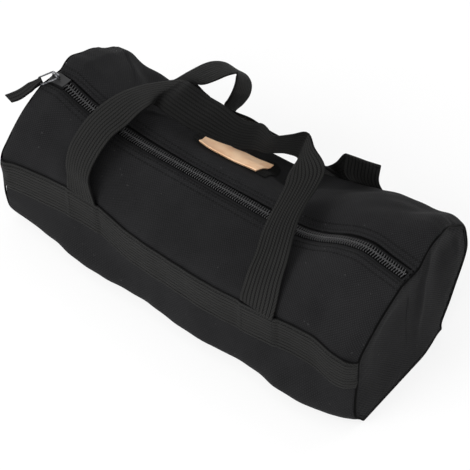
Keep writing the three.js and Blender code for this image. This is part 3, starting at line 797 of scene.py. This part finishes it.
def bag_stops():
    """Places along the bag, closer together at the end seams, with one at the middle."""
    ends = [0.8, 2.0, 3.6, 5.6]
    inner = np.linspace(0, PANEL_END - 8, int(round((PANEL_END - 8) / LENGTH_STEP)) + 1)
    right = np.concatenate([inner, [PANEL_END - e for e in reversed(ends)], [PANEL_END]])
    return np.concatenate([-right[:0:-1], right])


BAG_STOPS = bag_stops()


def on_side(side):
    return lambda a, b, out: skin(side, a, b, out)


def panel(side, low_edge, high_edge):
    across = stops(low_edge, high_edge, LENGTH_STEP, 0.7)
    return laid_grid(on_side(side), BAG_STOPS, across, -CANVAS, 0)


def along_bag(start=-PANEL_END + 3, end=PANEL_END - 3):
    return np.linspace(start, end, ROW_POINTS)


def side_panels(side):
    profile = SIDES[side]
    seam = profile.at_height(BAND_SEAM)
    lower = panel(side, 0.2, seam - GAP / 2)
    halves(f"{side}_lower_cloth", lower, ["canvas", "thread"], f"{side}_lower_panel")
    edge = profile.at_zip(FLAP_EDGE)
    flap = panel(side, seam + GAP / 2, edge)
    shift_map(flap, edge)
    for row in HEM_ROWS:
        at_row = np.full(ROW_POINTS, edge - row)
        stitch_line(flap, on_side(side), along_bag(), at_row, FLUSH, pitch=HEM_PITCH, width=HEM_STITCH)
    halves(f"{side}_flap_cloth", flap, ["hemmed", "thread"], f"{side}_flap")


UNDER_LEG = 1.5
BAND_ROLL = 1.6
CURL, CURL_REACH, EDGE_WAVE = 0.5, 2.5, 0.35
BAND_GATHER = 0.1
BAND_ROW = 3.0
LEG_ROW = 2.5
LEG_ROW_POINTS = 30
BAND_STITCH = 0.65


def under_band(side, x):
    """How much the band stands out where the handle's ends pass under it."""
    left, right = LEGS[side]
    reach = np.minimum(np.abs(x - left), np.abs(x - right))
    return UNDER_LEG * (1 - smooth(WEBBING / 2 - 0.5, WEBBING / 2 + 2.5, reach))


def side_band(side):
    profile = SIDES[side]
    low = profile.at_height(BAND_LOW)
    high = profile.at_height(BAND_HIGH)

    def place(a, b, out):
        curl = CURL * (np.exp(-(high - b) / CURL_REACH) - 0.5 * np.exp(-(b - low) / CURL_REACH))
        wave = EDGE_WAVE * np.sin(a / 17) * np.exp(-(high - b) / 9)
        near = smooth(HALF - 18, HALF - 2, np.abs(a))
        roll = BAND_ROLL * bell(HALF - np.abs(a) - 8, 5)
        b = b - (b - (low + high) / 2) * BAND_GATHER * near
        return skin(side, a, b, out + under_band(side, a) + curl + wave + roll)

    top = GAP + BAND_THICK
    bm = laid_grid(place, BAG_STOPS, stops(low, high, 3.0, 0.6), GAP, top)
    shift_map(bm, low)
    xs = along_bag()
    for s in (low + BAND_ROW, high - BAND_ROW):
        stitch_line(bm, place, xs, np.full(ROW_POINTS, s), top + FLUSH, width=BAND_STITCH)
    ss = np.linspace(low + BAND_ROW, high - BAND_ROW, LEG_ROW_POINTS)
    for leg in LEGS[side]:
        for edge in (-1, 1):
            x = leg + edge * (WEBBING / 2 - LEG_ROW)
            stitch_line(bm, place, np.full(LEG_ROW_POINTS, x), ss, top + FLUSH, width=BAND_STITCH)
    halves(f"{side}_band_webbing", bm, ["webbing", "thread"], f"{side}_band")


# Zip


TAPE_TOP = -CANVAS - GAP
COIL_BASE = TAPE_TOP + 0.4
COIL_ROW = 4.1
COIL_ROW_TOP = TAPE_TOP + 2.72
COIL_SLANT = 2.4
COIL_WIRE = 0.4
COIL_HEAD_WIRE = 0.55
BODY_END = HALF - CANVAS - GAP
COIL_START = -BODY_END + 9.0
COIL_END = BODY_END - 0.2


def zip_tape(side):
    profile = SIDES[side]
    across = stops(profile.at_zip(TAPE_OUTER), profile.at_zip(TAPE_INNER), 2.2, 0.25)
    xs = BAG_STOPS * (BODY_END / PANEL_END)

    def place(a, b, out):
        y, z, ny, nz = profile.at(b)
        return slump(a, y + ny * out, z + nz * out)

    bm = laid_grid(place, xs, across, TAPE_TOP - TAPE_THICK, TAPE_TOP)
    shift_map(bm, profile.total)
    path = along_bag(COIL_START + 2, COIL_END - 1)
    row = np.full(ROW_POINTS, profile.at_zip(COIL_ROW))
    stitch_line(bm, place, path, row, COIL_ROW_TOP, pitch=COIL_PITCH, width=0.6)
    halves(f"{side}_tape_weave", bm, ["tape", "thread"], f"{side}_zip_tape")


def coil_loop(sign):
    """One turn of the coil, from its outer edge over to the head that meets the other half.

    The rows of path are the share of the slant, the distance from the chain's middle and the height.
    """
    bm = bmesh.new()
    sides = 6
    outer, inner = CHAIN_HALF - 0.1, -1.0
    path = [
        (0.0, outer - 0.5, 0.35), (0.05, outer - 0.05, 1.0), (0.12, outer - 0.6, 1.95),
        (0.3, 2.6, 2.2), (0.5, 0.4, 2.2), (0.62, inner + 0.25, 1.95),
        (0.66, inner, 1.15), (0.66, inner + 0.3, 0.35),
    ]
    rings = []
    for k, (share, y, z) in enumerate(path):
        before, after = path[max(k - 1, 0)], path[min(k + 1, len(path) - 1)]
        tangent = Vector((0, sign * (after[1] - before[1]), after[2] - before[2])).normalized()
        flat = COIL_HEAD_WIRE if k in (5, 6) else COIL_WIRE
        wide = bmesh.ops.create_circle(bm, cap_ends=False, segments=sides, radius=1.0)["verts"]
        up = Vector((1, 0, 0)).cross(tangent)
        turn = Matrix((Vector((1, 0, 0)) * flat, up * 0.42, tangent)).transposed().to_4x4()
        spot = Vector(((share - 0.33) * COIL_SLANT, sign * y, z))
        bmesh.ops.transform(bm, matrix=Matrix.Translation(spot) @ turn, verts=wide)
        rings.append(wide)
    for first, second in zip(rings, rings[1:]):
        edges = {e for v in first + second for e in v.link_edges if e.is_boundary or e.is_wire}
        edges = [e for e in edges if all(v in first for v in e.verts) or all(v in second for v in e.verts)]
        bmesh.ops.bridge_loops(bm, edges=edges)
    bmesh.ops.holes_fill(bm, edges=[e for e in bm.edges if e.is_boundary], sides=sides)
    bmesh.ops.recalc_face_normals(bm, faces=bm.faces[:])
    for face in bm.faces:
        face.smooth = True
    return to_mesh("coil_loop", bm)


def zip_coil(side):
    sign = -SIDES[side].side
    loop = coil_loop(sign)
    bm = bmesh.new()
    count = int((COIL_END - COIL_START) // COIL_PITCH) - 1
    shift = 1.0 if side == "front" else 0.5
    for k in range(count):
        x = COIL_START + (k + shift) * COIL_PITCH
        rise = float(zip_rise(x))
        tilt = math.atan(float(zip_rise(x + 1) - zip_rise(x - 1)) / 2)
        spot = Matrix.Translation((x, 0, ZIP_HEIGHT + COIL_BASE + rise)) @ Matrix.Rotation(-tilt, 4, "Y")
        add_copy(bm, loop, spot)
    halves(f"{side}_coil_loops", bm, ["coil"], f"{side}_zip_coil")


# Ends


def end_outline(count):
    """The end section as count points from the middle of the zip round the rear, base and front."""
    parts = []
    for profile, flip in ((REAR, True), (FRONT, False)):
        s = np.linspace(0, profile.total, 400)
        y, z, ny, nz = profile.at(s)
        inward = END_INWARD * smooth(0, 12, s)
        points = np.stack([y - ny * inward, z - nz * inward], axis=1)
        parts.append(points[::-1] if flip else points)
    line = np.vstack(parts)
    run = run_along(line)
    return read_rows(np.linspace(0, run[-1], count + 1), run, line)


# Hollows of the ends: depth, then middle and width in y and z
HOLLOWS = {1: [(4.5, (-26, 30), (84, 34)), (5.5, (52, 17), (104, 40))], -1: [(4.0, (5, 42), (70, 40))]}

# Upright folds of the right end: height, width, heights over which it comes in, and its line in z and y
END_FOLDS = {
    1: [
        (3.6, 5.5, (15, 80), (60, 103, 146), (17.4, 21.6, 33)),
        (2.8, 4.5, (80, 108), (108, 129), (82.2, 73.3)),
    ],
    -1: [],
}
END_MIDDLE = np.array([6.0, 66.0])
END_SPREAD = 0.8
END_INWARD = 2.4
END_WAVE = 0.35
END_GATHER, END_GATHER_REACH, END_GATHER_COUNT = 0.4, 9, 61


def end_dent(side, y, z):
    """How far an end panel stands out (+) or sinks in (-) from its flat shape."""
    dent = 0.0
    for depth, (y_middle, y_width), (z_middle, z_width) in HOLLOWS[side]:
        dent = dent - depth * np.exp(-(((y - y_middle) / y_width) ** 2 + ((z - z_middle) / z_width) ** 2))
    for height, width, rise, line_z, line_y in END_FOLDS[side]:
        dent = dent + height * bell(y - np.interp(z, line_z, line_y), width) * smooth(*rise, z)
    return dent


def end_cloth(end, side):
    """An end panel, as rings round its middle that dip into the seam."""
    turns = 240
    rings = 44
    line = end_outline(turns)
    bm, co = double_grid(turns, rings)
    i = np.rint(co[:, 0] * turns).astype(int) % turns
    share = co[:, 1] ** END_SPREAD
    rim = np.linalg.norm(line[i] - END_MIDDLE, axis=1) * (1 - share)
    y, z = (END_MIDDLE + (line[i] - END_MIDDLE) * share[:, None]).T
    x = HALF
    for depth, width in END_GROOVE:
        x = x - depth * bell(rim, width)
    soft = smooth(2, 26, rim)
    x = x + soft * end_dent(side, y, z) + END_WAVE * soft * np.sin(y / 9.0 + z / 13.0)
    waves = np.sin(i * 2 * math.pi / turns * END_GATHER_COUNT)
    x = x + np.exp(-rim / END_GATHER_REACH) * smooth(0, 3, rim) * END_GATHER * waves
    half = CANVAS / 2 * np.where(share > 0.999, 0.4, 1.0)
    x = x - CANVAS / 2 + np.where(co[:, 2] > 0.5, half, -half)
    spots = slump(side * x, y, z)
    spots[:, 2] = np.maximum(spots[:, 2], 0)
    shape_grid(bm, spots, y, z)
    bmesh.ops.remove_doubles(bm, verts=bm.verts[:], dist=0.02)
    bmesh.ops.dissolve_degenerate(bm, edges=bm.edges[:], dist=0.005)
    bmesh.ops.recalc_face_normals(bm, faces=bm.faces[:])
    dress(f"{end}_end_cloth", bm, ["canvas"], f"{end}_end_panel", "shell")


# Width and lift of the near-black cord that paints the shade in an end seam
SEAM_SHADE_WIDTH, SHADE_CORD_LIFT = 1.8, 0.2
BINDING_CLEAR = {"front": 18.0, "rear": 72.0}


def seam_shade_cord(end, side):
    """A near-black cord at the bottom of an end seam: painted shade in the seam's groove."""
    line = end_outline(400)
    run = run_along(line)
    toward = line - END_MIDDLE
    toward /= np.hypot(*toward.T)[:, None]
    rows = np.hstack([line, toward])

    def place(a, b, out):
        y, z, ny, nz = read_rows(a, run, rows).T
        far = out + SHADE_CORD_LIFT
        spots = slump(side * (HALF - b), y + ny * far, z + nz * far)
        spots[:, 2] = np.maximum(spots[:, 2], SHADE_CORD_LIFT)
        return spots

    along = np.linspace(0.5, run[-1] - 0.5, 260)
    bm = laid_grid(place, along, stops(0, SEAM_SHADE_WIDTH, SEAM_SHADE_WIDTH / 2, 0.3), -0.8, 0.8)
    obj = piece(f"{end}_seam_shade_cord", bm, ["seam"])
    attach(obj, "shell")


def base_cloth():
    across = stops(-BASE_FRONT + 0.5, BASE_REAR - 0.5, 4.0, 0.6)

    def place(a, b, out):
        lift = 0.5 + 0.35 * np.sin(a / 37.0) * np.cos(b / 29.0)
        return slump(a, b, out + np.maximum(lift - 0.3, 0))

    bm = laid_grid(place, BAG_STOPS, across, 0.1, CANVAS)
    dress("base_cloth", bm, ["canvas"], "base_panel", "shell")


def end_binding(end, side):
    """Woven tape folded over the seam allowance inside an end."""
    parts = []
    for key, flip in (("front", True), ("rear", False)):
        profile = SIDES[key]
        s = np.linspace(10, profile.at_zip(BINDING_CLEAR[key]), 60)
        rows = np.stack(profile.at(s), axis=1)
        parts.append(rows[::-1] if flip else rows)
    line = np.vstack(parts)
    run = run_along(line[:, :2])

    def place(a, b, out):
        y, z, ny, nz = read_rows(a, run, line).T
        inward = -CANVAS - 0.8 - b
        x = side * (BODY_END - 1.6 + out)
        return slump(np.broadcast_to(x, y.shape), y + ny * inward, z + nz * inward)

    bm = laid_grid(place, np.linspace(0, run[-1], 140), stops(0, 6, 2, 0.5), -1.3, 1.3)
    dress(f"{end}_binding_tape", bm, ["tape"], f"{end}_seam_binding", "shell")


# Handles. A row is a point on each long edge of the strap, from its left foot to its right foot.


FRONT_HANDLE = [
    (-134, -72, 87.4, -96.5, -73.9, 87.4), (-139.8, -64.6, 96.3, -103, -71.6, 102.4),
    (-143.9, -60.4, 105.6, -107.1, -68.2, 110.9), (-146.9, -51.2, 117.8, -109.7, -59.3, 118.4),
    (-147.6, -38.8, 126.7, -110.2, -44.7, 128.3), (-146.6, -23.1, 135.2, -109.1, -28.3, 136.3),
    (-143.2, -7, 142.1, -105.3, -11.8, 140.2), (-137.8, 13.4, 145.2, -101.3, 2.7, 147.6),
    (-128, 34.6, 145.5, -98.1, 12, 151.2), (-112.7, 54, 145.7, -99.3, 18.6, 149),
    (-92.2, 60.3, 153.5, -103.5, 26.4, 139.6), (-77.5, 55.6, 160.9, -88.1, 21.4, 141.3),
    (-59.7, 53.9, 159.1, -72.5, 20.1, 141.3), (-46.2, 50.9, 160.8, -58.9, 19.8, 140.7),
    (-30.9, 46.4, 165, -46.6, 22.1, 138.5), (-6.3, 41.6, 165.3, -26.7, 27.8, 133.1),
    (7.6, 39.5, 169.8, -7.1, 32.6, 133.4), (18.3, 39, 175.4, 6.7, 34.1, 138.5),
    (28.5, 33.6, 179.7, 16.8, 33.6, 143.1), (39.8, 26.5, 182.3, 27.8, 33, 146.9),
    (49.5, 23.4, 187.9, 39, 34.1, 153), (63.1, 27.7, 194.7, 50.8, 34, 159.3),
    (73, 37.1, 195.7, 62.6, 35.9, 159.1), (81.9, 35.1, 183.8, 61.3, 32.3, 152),
    (91.9, 35.6, 171.6, 63.9, 20.5, 151.4), (97, 33.7, 163, 69.6, 5.6, 152.9),
    (98.9, 21.5, 155.9, 72.8, -9.4, 147.8), (99, 6.5, 148.8, 74.5, -25.1, 139.7),
    (100.3, -7.9, 140.5, 77, -40.3, 130.4), (104.4, -22.9, 129.6, 81.1, -54.7, 119),
    (110.2, -40.1, 118.2, 82.4, -65.1, 108.2), (117.7, -61.5, 107.2, 85.6, -78.2, 95.6),
    (126, -85.3, 87.9, 88.1, -83.6, 87.9),
]

REAR_HANDLE = [
    (-127, 98.3, 87.8, -89, 98.3, 87.8), (-128, 98, 100, -91, 95, 103.5),
    (-129, 91.8, 108, -92, 87.1, 117), (-130.5, 84.4, 112, -87.5, 80.2, 130),
    (-132, 80, 117.5, -85.5, 74.5, 140.5), (-120, 82.5, 129.5, -78.5, 69, 147),
    (-105, 86.9, 143, -70, 68.3, 154.7), (-91.2, 89.7, 154.9, -60.4, 69.4, 164.3),
    (-79.3, 91.1, 163, -49.3, 71, 174.8), (-65.8, 91.3, 167.8, -39.3, 69.6, 184.3),
    (-50.3, 88.9, 168.7, -31.1, 65.8, 192), (-42.7, 94.7, 161.4, -32.3, 67.6, 185.8),
    (-41.4, 99.7, 147.3, -37, 70.4, 171), (-44.2, 100, 131.6, -42.3, 71.5, 156.6),
    (-50.6, 97.2, 118.2, -46.8, 70.7, 145.1), (-56.3, 90.7, 108.3, -48.8, 68.2, 137.9),
    (-44.1, 91.9, 103.1, -38.5, 70.4, 133.9), (-24.6, 94.4, 101, -21.6, 73.4, 132.5),
    (-2.3, 96.6, 94, -1.1, 75.9, 126), (22.3, 98, 90, 21.6, 77.6, 123.5),
    (50, 99.5, 80, 46, 78, 119), (71.4, 100.1, 80, 60, 77.5, 117),
    (86, 101, 84, 58, 90, 102), (98.5, 101.5, 93, 62, 97, 106),
    (112.9, 97.3, 130.3, 75.6, 93.8, 127), (110.5, 98.6, 109, 74, 94.8, 103),
    (115, 99, 98, 77, 96.6, 93), (127, 98.3, 87.8, 89, 98.3, 87.8),
]


# Rows, counted on the two long edges, between which a handle is folded over
FRONT_FOLD = ((10, 9), (22, 22))
REAR_FOLD = ((13, 13), (17.5, 17.9))
ROW_STEPS = 12
OUTER_FACE, INNER_FACE, STRAP_RIM = 0, 1, 2
CUP = 0.5


def show_inner_face(bm, run, fold):
    """Gives the strap's inner face a darker copy of the webbing as painted shade, and turns it over where
    it is folded.
    """
    layer = bm.loops.layers.uv["cut"]
    marks = np.interp(ROW_STEPS * np.array(fold, float), np.arange(len(run)), run)
    for face in bm.faces:
        a, b = np.mean([loop[layer].uv for loop in face.loops], axis=0) / MM
        start, end = marks[:, 0] + (marks[:, 1] - marks[:, 0]) * b / WEBBING
        if face.material_index == STRAP_RIM:
            face.material_index = OUTER_FACE
        elif not start < a < end:
            face.material_index = INNER_FACE - face.material_index


def handle(node, edges, fold):
    fine = spline(edges, ROW_STEPS)
    middle = (fine[:, :3] + fine[:, 3:]) / 2
    run = run_along(middle)
    across = fine[:, 3:] - fine[:, :3]
    across /= np.linalg.norm(across, axis=1)[:, None]
    along = np.gradient(middle, axis=0)
    normal = np.cross(along, across)
    normal /= np.linalg.norm(normal, axis=1)[:, None]

    def place(a, b, out):
        spot, aside, outwards = (read_rows(a, run, rows) for rows in (middle, across, normal))
        b = b - WEBBING / 2
        cup = CUP * (2 * b / WEBBING) ** 2
        return spot + aside * b[:, None] + outwards * (out + cup)[:, None]

    stations = stops(0, run[-1], 2.0, 0.4)
    widths = stops(0, WEBBING, 3.0, 0.7)
    half = STRAP_THICK / 2
    bm = laid_grid(place, stations, widths, -half, half, STRAP_RIM, INNER_FACE)
    show_inner_face(bm, run, fold)
    dress(f"{node}_webbing", bm, ["webbing", "painted_shade_webbing"], node, node)


# Label


CORNER_LIFT, CORNER_REACH, NEAR_EDGE = 1.2, 9, 14
LEFT_TAPER = 0.42
FAR_SPREAD, FAR_SHIFT = 4.0, 2.0
LOBE = 11


def label():
    """The leather patch, turned a little and narrower at its left, and the black piece under it, a backing
    that also stands in as painted shadow of the grip beside the patch.
    """
    edge = REAR.at_zip(FLAP_EDGE)
    start, end = edge - LABEL_FAR, edge - LABEL_NEAR
    length = LABEL_RIGHT - LABEL_LEFT

    def place(a, b, out):
        corner = bell(a - LABEL_LEFT, CORNER_REACH) + bell(a - LABEL_RIGHT, CORNER_REACH)
        lift = CORNER_LIFT * corner * smooth(end - NEAR_EDGE, end, b)
        left = 1 - np.clip((a - LABEL_LEFT) / length, 0, 1)
        return turned(a, end + (b - end) * (1 - LEFT_TAPER * left), out + lift)

    def turned(a, b, out):
        along, aside = a - LABEL_LEFT, b - end
        far = np.clip(-aside / (LABEL_FAR - LABEL_NEAR), 0, 1)
        side = np.clip(along / length, 0, 1)
        along = along + far * (FAR_SPREAD * side - FAR_SHIFT)
        x = LABEL_LEFT + along * math.cos(LABEL_TURN) + aside * math.sin(LABEL_TURN)
        return skin("rear", x, end + aside * math.cos(LABEL_TURN) - along * math.sin(LABEL_TURN), out)

    low = GAP + BACKING + GAP
    across = stops(start, end, 2.2, 0.5)
    stations = stops(LABEL_LEFT, LABEL_RIGHT, 2.2, 0.5)
    bm = laid_grid(place, stations, across, low, low + LEATHER, rim_slot=1)
    dress("label_leather", bm, ["leather", "leather_edge"], "leather_label", "rear_side")

    def backed(a, b, out):
        reach = np.hypot(np.maximum(a - (LABEL_RIGHT - 2), 0), np.maximum(start + 6 - b, 0))
        pull = np.where(reach > LOBE, LOBE / np.maximum(reach, 1), 1)
        a = np.where(reach > LOBE, LABEL_RIGHT - 2 + (a - LABEL_RIGHT + 2) * pull, a)
        b = np.where(reach > LOBE, start + 6 + (b - start - 6) * pull, b)
        return turned(a, b, out)

    # The black backing reaches past the leather: a backing with a lobe at its far right, and painted
    # shadow of the grip beside the patch.
    across = stops(start - 7, end - 2, 2.0, 0.4)
    stations = stops(LABEL_LEFT - 9, LABEL_RIGHT + 9, 2.0, 0.4)
    bm = laid_grid(backed, stations, across, GAP, GAP + BACKING)
    dress("label_back_and_shade", bm, ["backing"], "label_backing", "rear_side")


# Pull


PULL_PIVOT = Vector((-207.5, 0, 141.54))
PULL_YAW = math.radians(60)
PULL_DROP = math.radians(9.5)
LINK_LENGTH = 17.0
TAB_LENGTH = 35.0
TAB_WEBBING = 11.0

# Shares of the tab's length, and its width and thickness there
TAB_WIDTHS = [0, 0.08, 0.2, 0.34, 0.8, 1], [6.0, 6.2, 8.4, 12.2, 13.6, 13.0]
TAB_FATNESS = [0, 0.1, 0.25, 0.5, 1], [1.9, 1.9, 1.25, 1.0, 0.9]
TAB_SLANT = 3.0
TAB_DROOP, TAB_BOW, TAB_CURL = 5.0, 2.6, 1.3


def pull_tab():
    """A folded end of webbing, tied in at the link and cut to a slanted tip."""
    start = -LINK_LENGTH + 1.6

    def place(a, b, out):
        t = a / TAB_LENGTH
        wide = np.interp(t, *TAB_WIDTHS) / TAB_WEBBING
        fat = np.interp(t, *TAB_FATNESS)
        slant = TAB_SLANT * (b / TAB_WEBBING) * smooth(0.6, 1, t)
        x = start - a - slant
        y = (b - TAB_WEBBING / 2) * wide
        wave = TAB_CURL * np.sin(t * 7.0) * t - TAB_BOW * np.sin(np.clip(t, 0, 1) * 2.6)
        z = out * fat + wave - TAB_DROOP * t * t
        return np.stack([x, y, z], axis=-1)

    across = stops(0, TAB_WEBBING, 1.1, 0.4)
    bm = laid_grid(place, stops(-1.0, TAB_LENGTH, 1.2, 0.3), across, -1.2, 1.2)
    turn = Matrix.Rotation(PULL_YAW, 4, "Z") @ Matrix.Rotation(-PULL_DROP, 4, "Y")
    bmesh.ops.transform(bm, matrix=Matrix.Translation(PULL_PIVOT) @ turn, verts=bm.verts[:])
    dress("pull_tab_webbing", bm, ["webbing"], "pull_tab", "pull")


def finish_solids():
    """The metal solids keep their own shapes."""
    for name, finish in (("zip_slider", "slider"), ("pull_link", "metal")):
        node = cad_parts[name]
        node.data.materials.clear()
        node.data.materials.append(FINISH[finish])


for key in SIDES:
    side_panels(key)
    side_band(key)
    zip_tape(key)
    zip_coil(key)
for make in (end_cloth, seam_shade_cord, end_binding):
    make("left", -1)
    make("right", 1)
base_cloth()
handle("front_handle", FRONT_HANDLE, FRONT_FOLD)
handle("rear_handle", REAR_HANDLE, REAR_FOLD)
label()
pull_tab()
finish_solids()


# Studio


CLIP_END = 20


def camera():
    """The photograph's own view, found from the bag's seams."""
    azimuth, elevation, roll = 0.7006107, 0.8186732, -0.0373240
    distance = 1.1077402
    target = Vector((0.2887905, -0.3252660, 0.5098471))
    pixels, focal = 470, 1801.0
    level = math.cos(elevation)
    back = Vector((math.sin(azimuth) * level, -math.cos(azimuth) * level, math.sin(elevation)))
    right = (-back).cross(Vector((0, 0, 1))).normalized()
    up = right.cross(-back)
    side = right * math.cos(roll) + up * math.sin(roll)
    top = up * math.cos(roll) - right * math.sin(roll)
    data = bpy.data.cameras.new("camera")
    data.sensor_width = 36
    data.lens = focal / pixels * data.sensor_width
    data.clip_end = CLIP_END
    obj = new_object("camera", data)
    turn = Matrix((side, top, back)).transposed().to_4x4()
    obj.matrix_world = Matrix.Translation(target + back * distance) @ turn
    bpy.context.scene.camera = obj


AIM = Vector((0, 0, 0.08))


def lamp(name, place, size, power):
    data = bpy.data.lights.new(name, "AREA")
    data.shape = "DISK"
    data.size = size
    data.energy = power
    obj = new_object(name, data)
    obj.location = place
    obj.rotation_euler = (AIM - Vector(place)).to_track_quat("-Z", "Y").to_euler()


def white_to_camera(tree, shader):
    """The camera, gloss and glass see plain white, and the object is lit by shader."""
    path = tree.nodes.new("ShaderNodeLightPath")
    seen = path.outputs["Is Camera Ray"]
    for name in ("Is Glossy Ray", "Is Transmission Ray"):
        most = tree.nodes.new("ShaderNodeMath")
        most.operation = "MAXIMUM"
        tree.links.new(seen, most.inputs[0])
        tree.links.new(path.outputs[name], most.inputs[1])
        seen = most.outputs[0]
    mix = tree.nodes.new("ShaderNodeMixShader")
    tree.links.new(seen, mix.inputs[0])
    tree.links.new(shader.outputs[0], mix.inputs[1])
    return mix


FLOOR_WHITE = 0.78
SKY_LIGHT = 0.72
FLOOR_SIZE = 4
FLOOR_DROP = 0.0005

# Name, place, size and power
LAMPS = [
    ("key", (-0.6, -1.5, 1.4), 1.2, 20),
    ("fill", (0.15, -1.8, 1.1), 1.5, 16),
    ("rim", (0.3, 1.3, 1.5), 1.0, 7),
]


def studio():
    scene = bpy.context.scene
    scene.view_settings.view_transform = "Standard"
    world = bpy.data.worlds.new("studio")
    scene.world = world
    world.use_nodes = True
    tree = world.node_tree
    plain = tree.nodes["Background"]
    plain.inputs[0].default_value = (1, 1, 1, 1)
    plain.inputs[1].default_value = SKY_LIGHT
    white = tree.nodes.new("ShaderNodeBackground")
    white.inputs[1].default_value = 1.0
    mix = white_to_camera(tree, plain)
    tree.links.new(white.outputs[0], mix.inputs[2])
    tree.links.new(mix.outputs[0], tree.nodes["World Output"].inputs[0])

    bm = bmesh.new()
    bmesh.ops.create_grid(bm, x_segments=1, y_segments=1, size=FLOOR_SIZE)
    floor = new_object("floor", to_mesh("floor", bm))
    floor.location.z = -FLOOR_DROP
    pale = Finish("pale_floor")
    pale.set(Base_Color=(0.92, 0.92, 0.92), Roughness=0.95)
    glow = pale.node("ShaderNodeEmission")
    seen = pale.node("ShaderNodeLightPath") * FLOOR_WHITE
    blend = pale.tree.nodes.new("ShaderNodeMixShader")
    for place, value in enumerate((seen.socket, pale.shader.outputs[0], glow.socket)):
        pale.tree.links.new(value, blend.inputs[place])
    pale.tree.links.new(blend.outputs[0], pale.tree.nodes["Material Output"].inputs[0])
    floor.data.materials.append(pale.material)

    for row in LAMPS:
        lamp(*row)


camera()
studio()
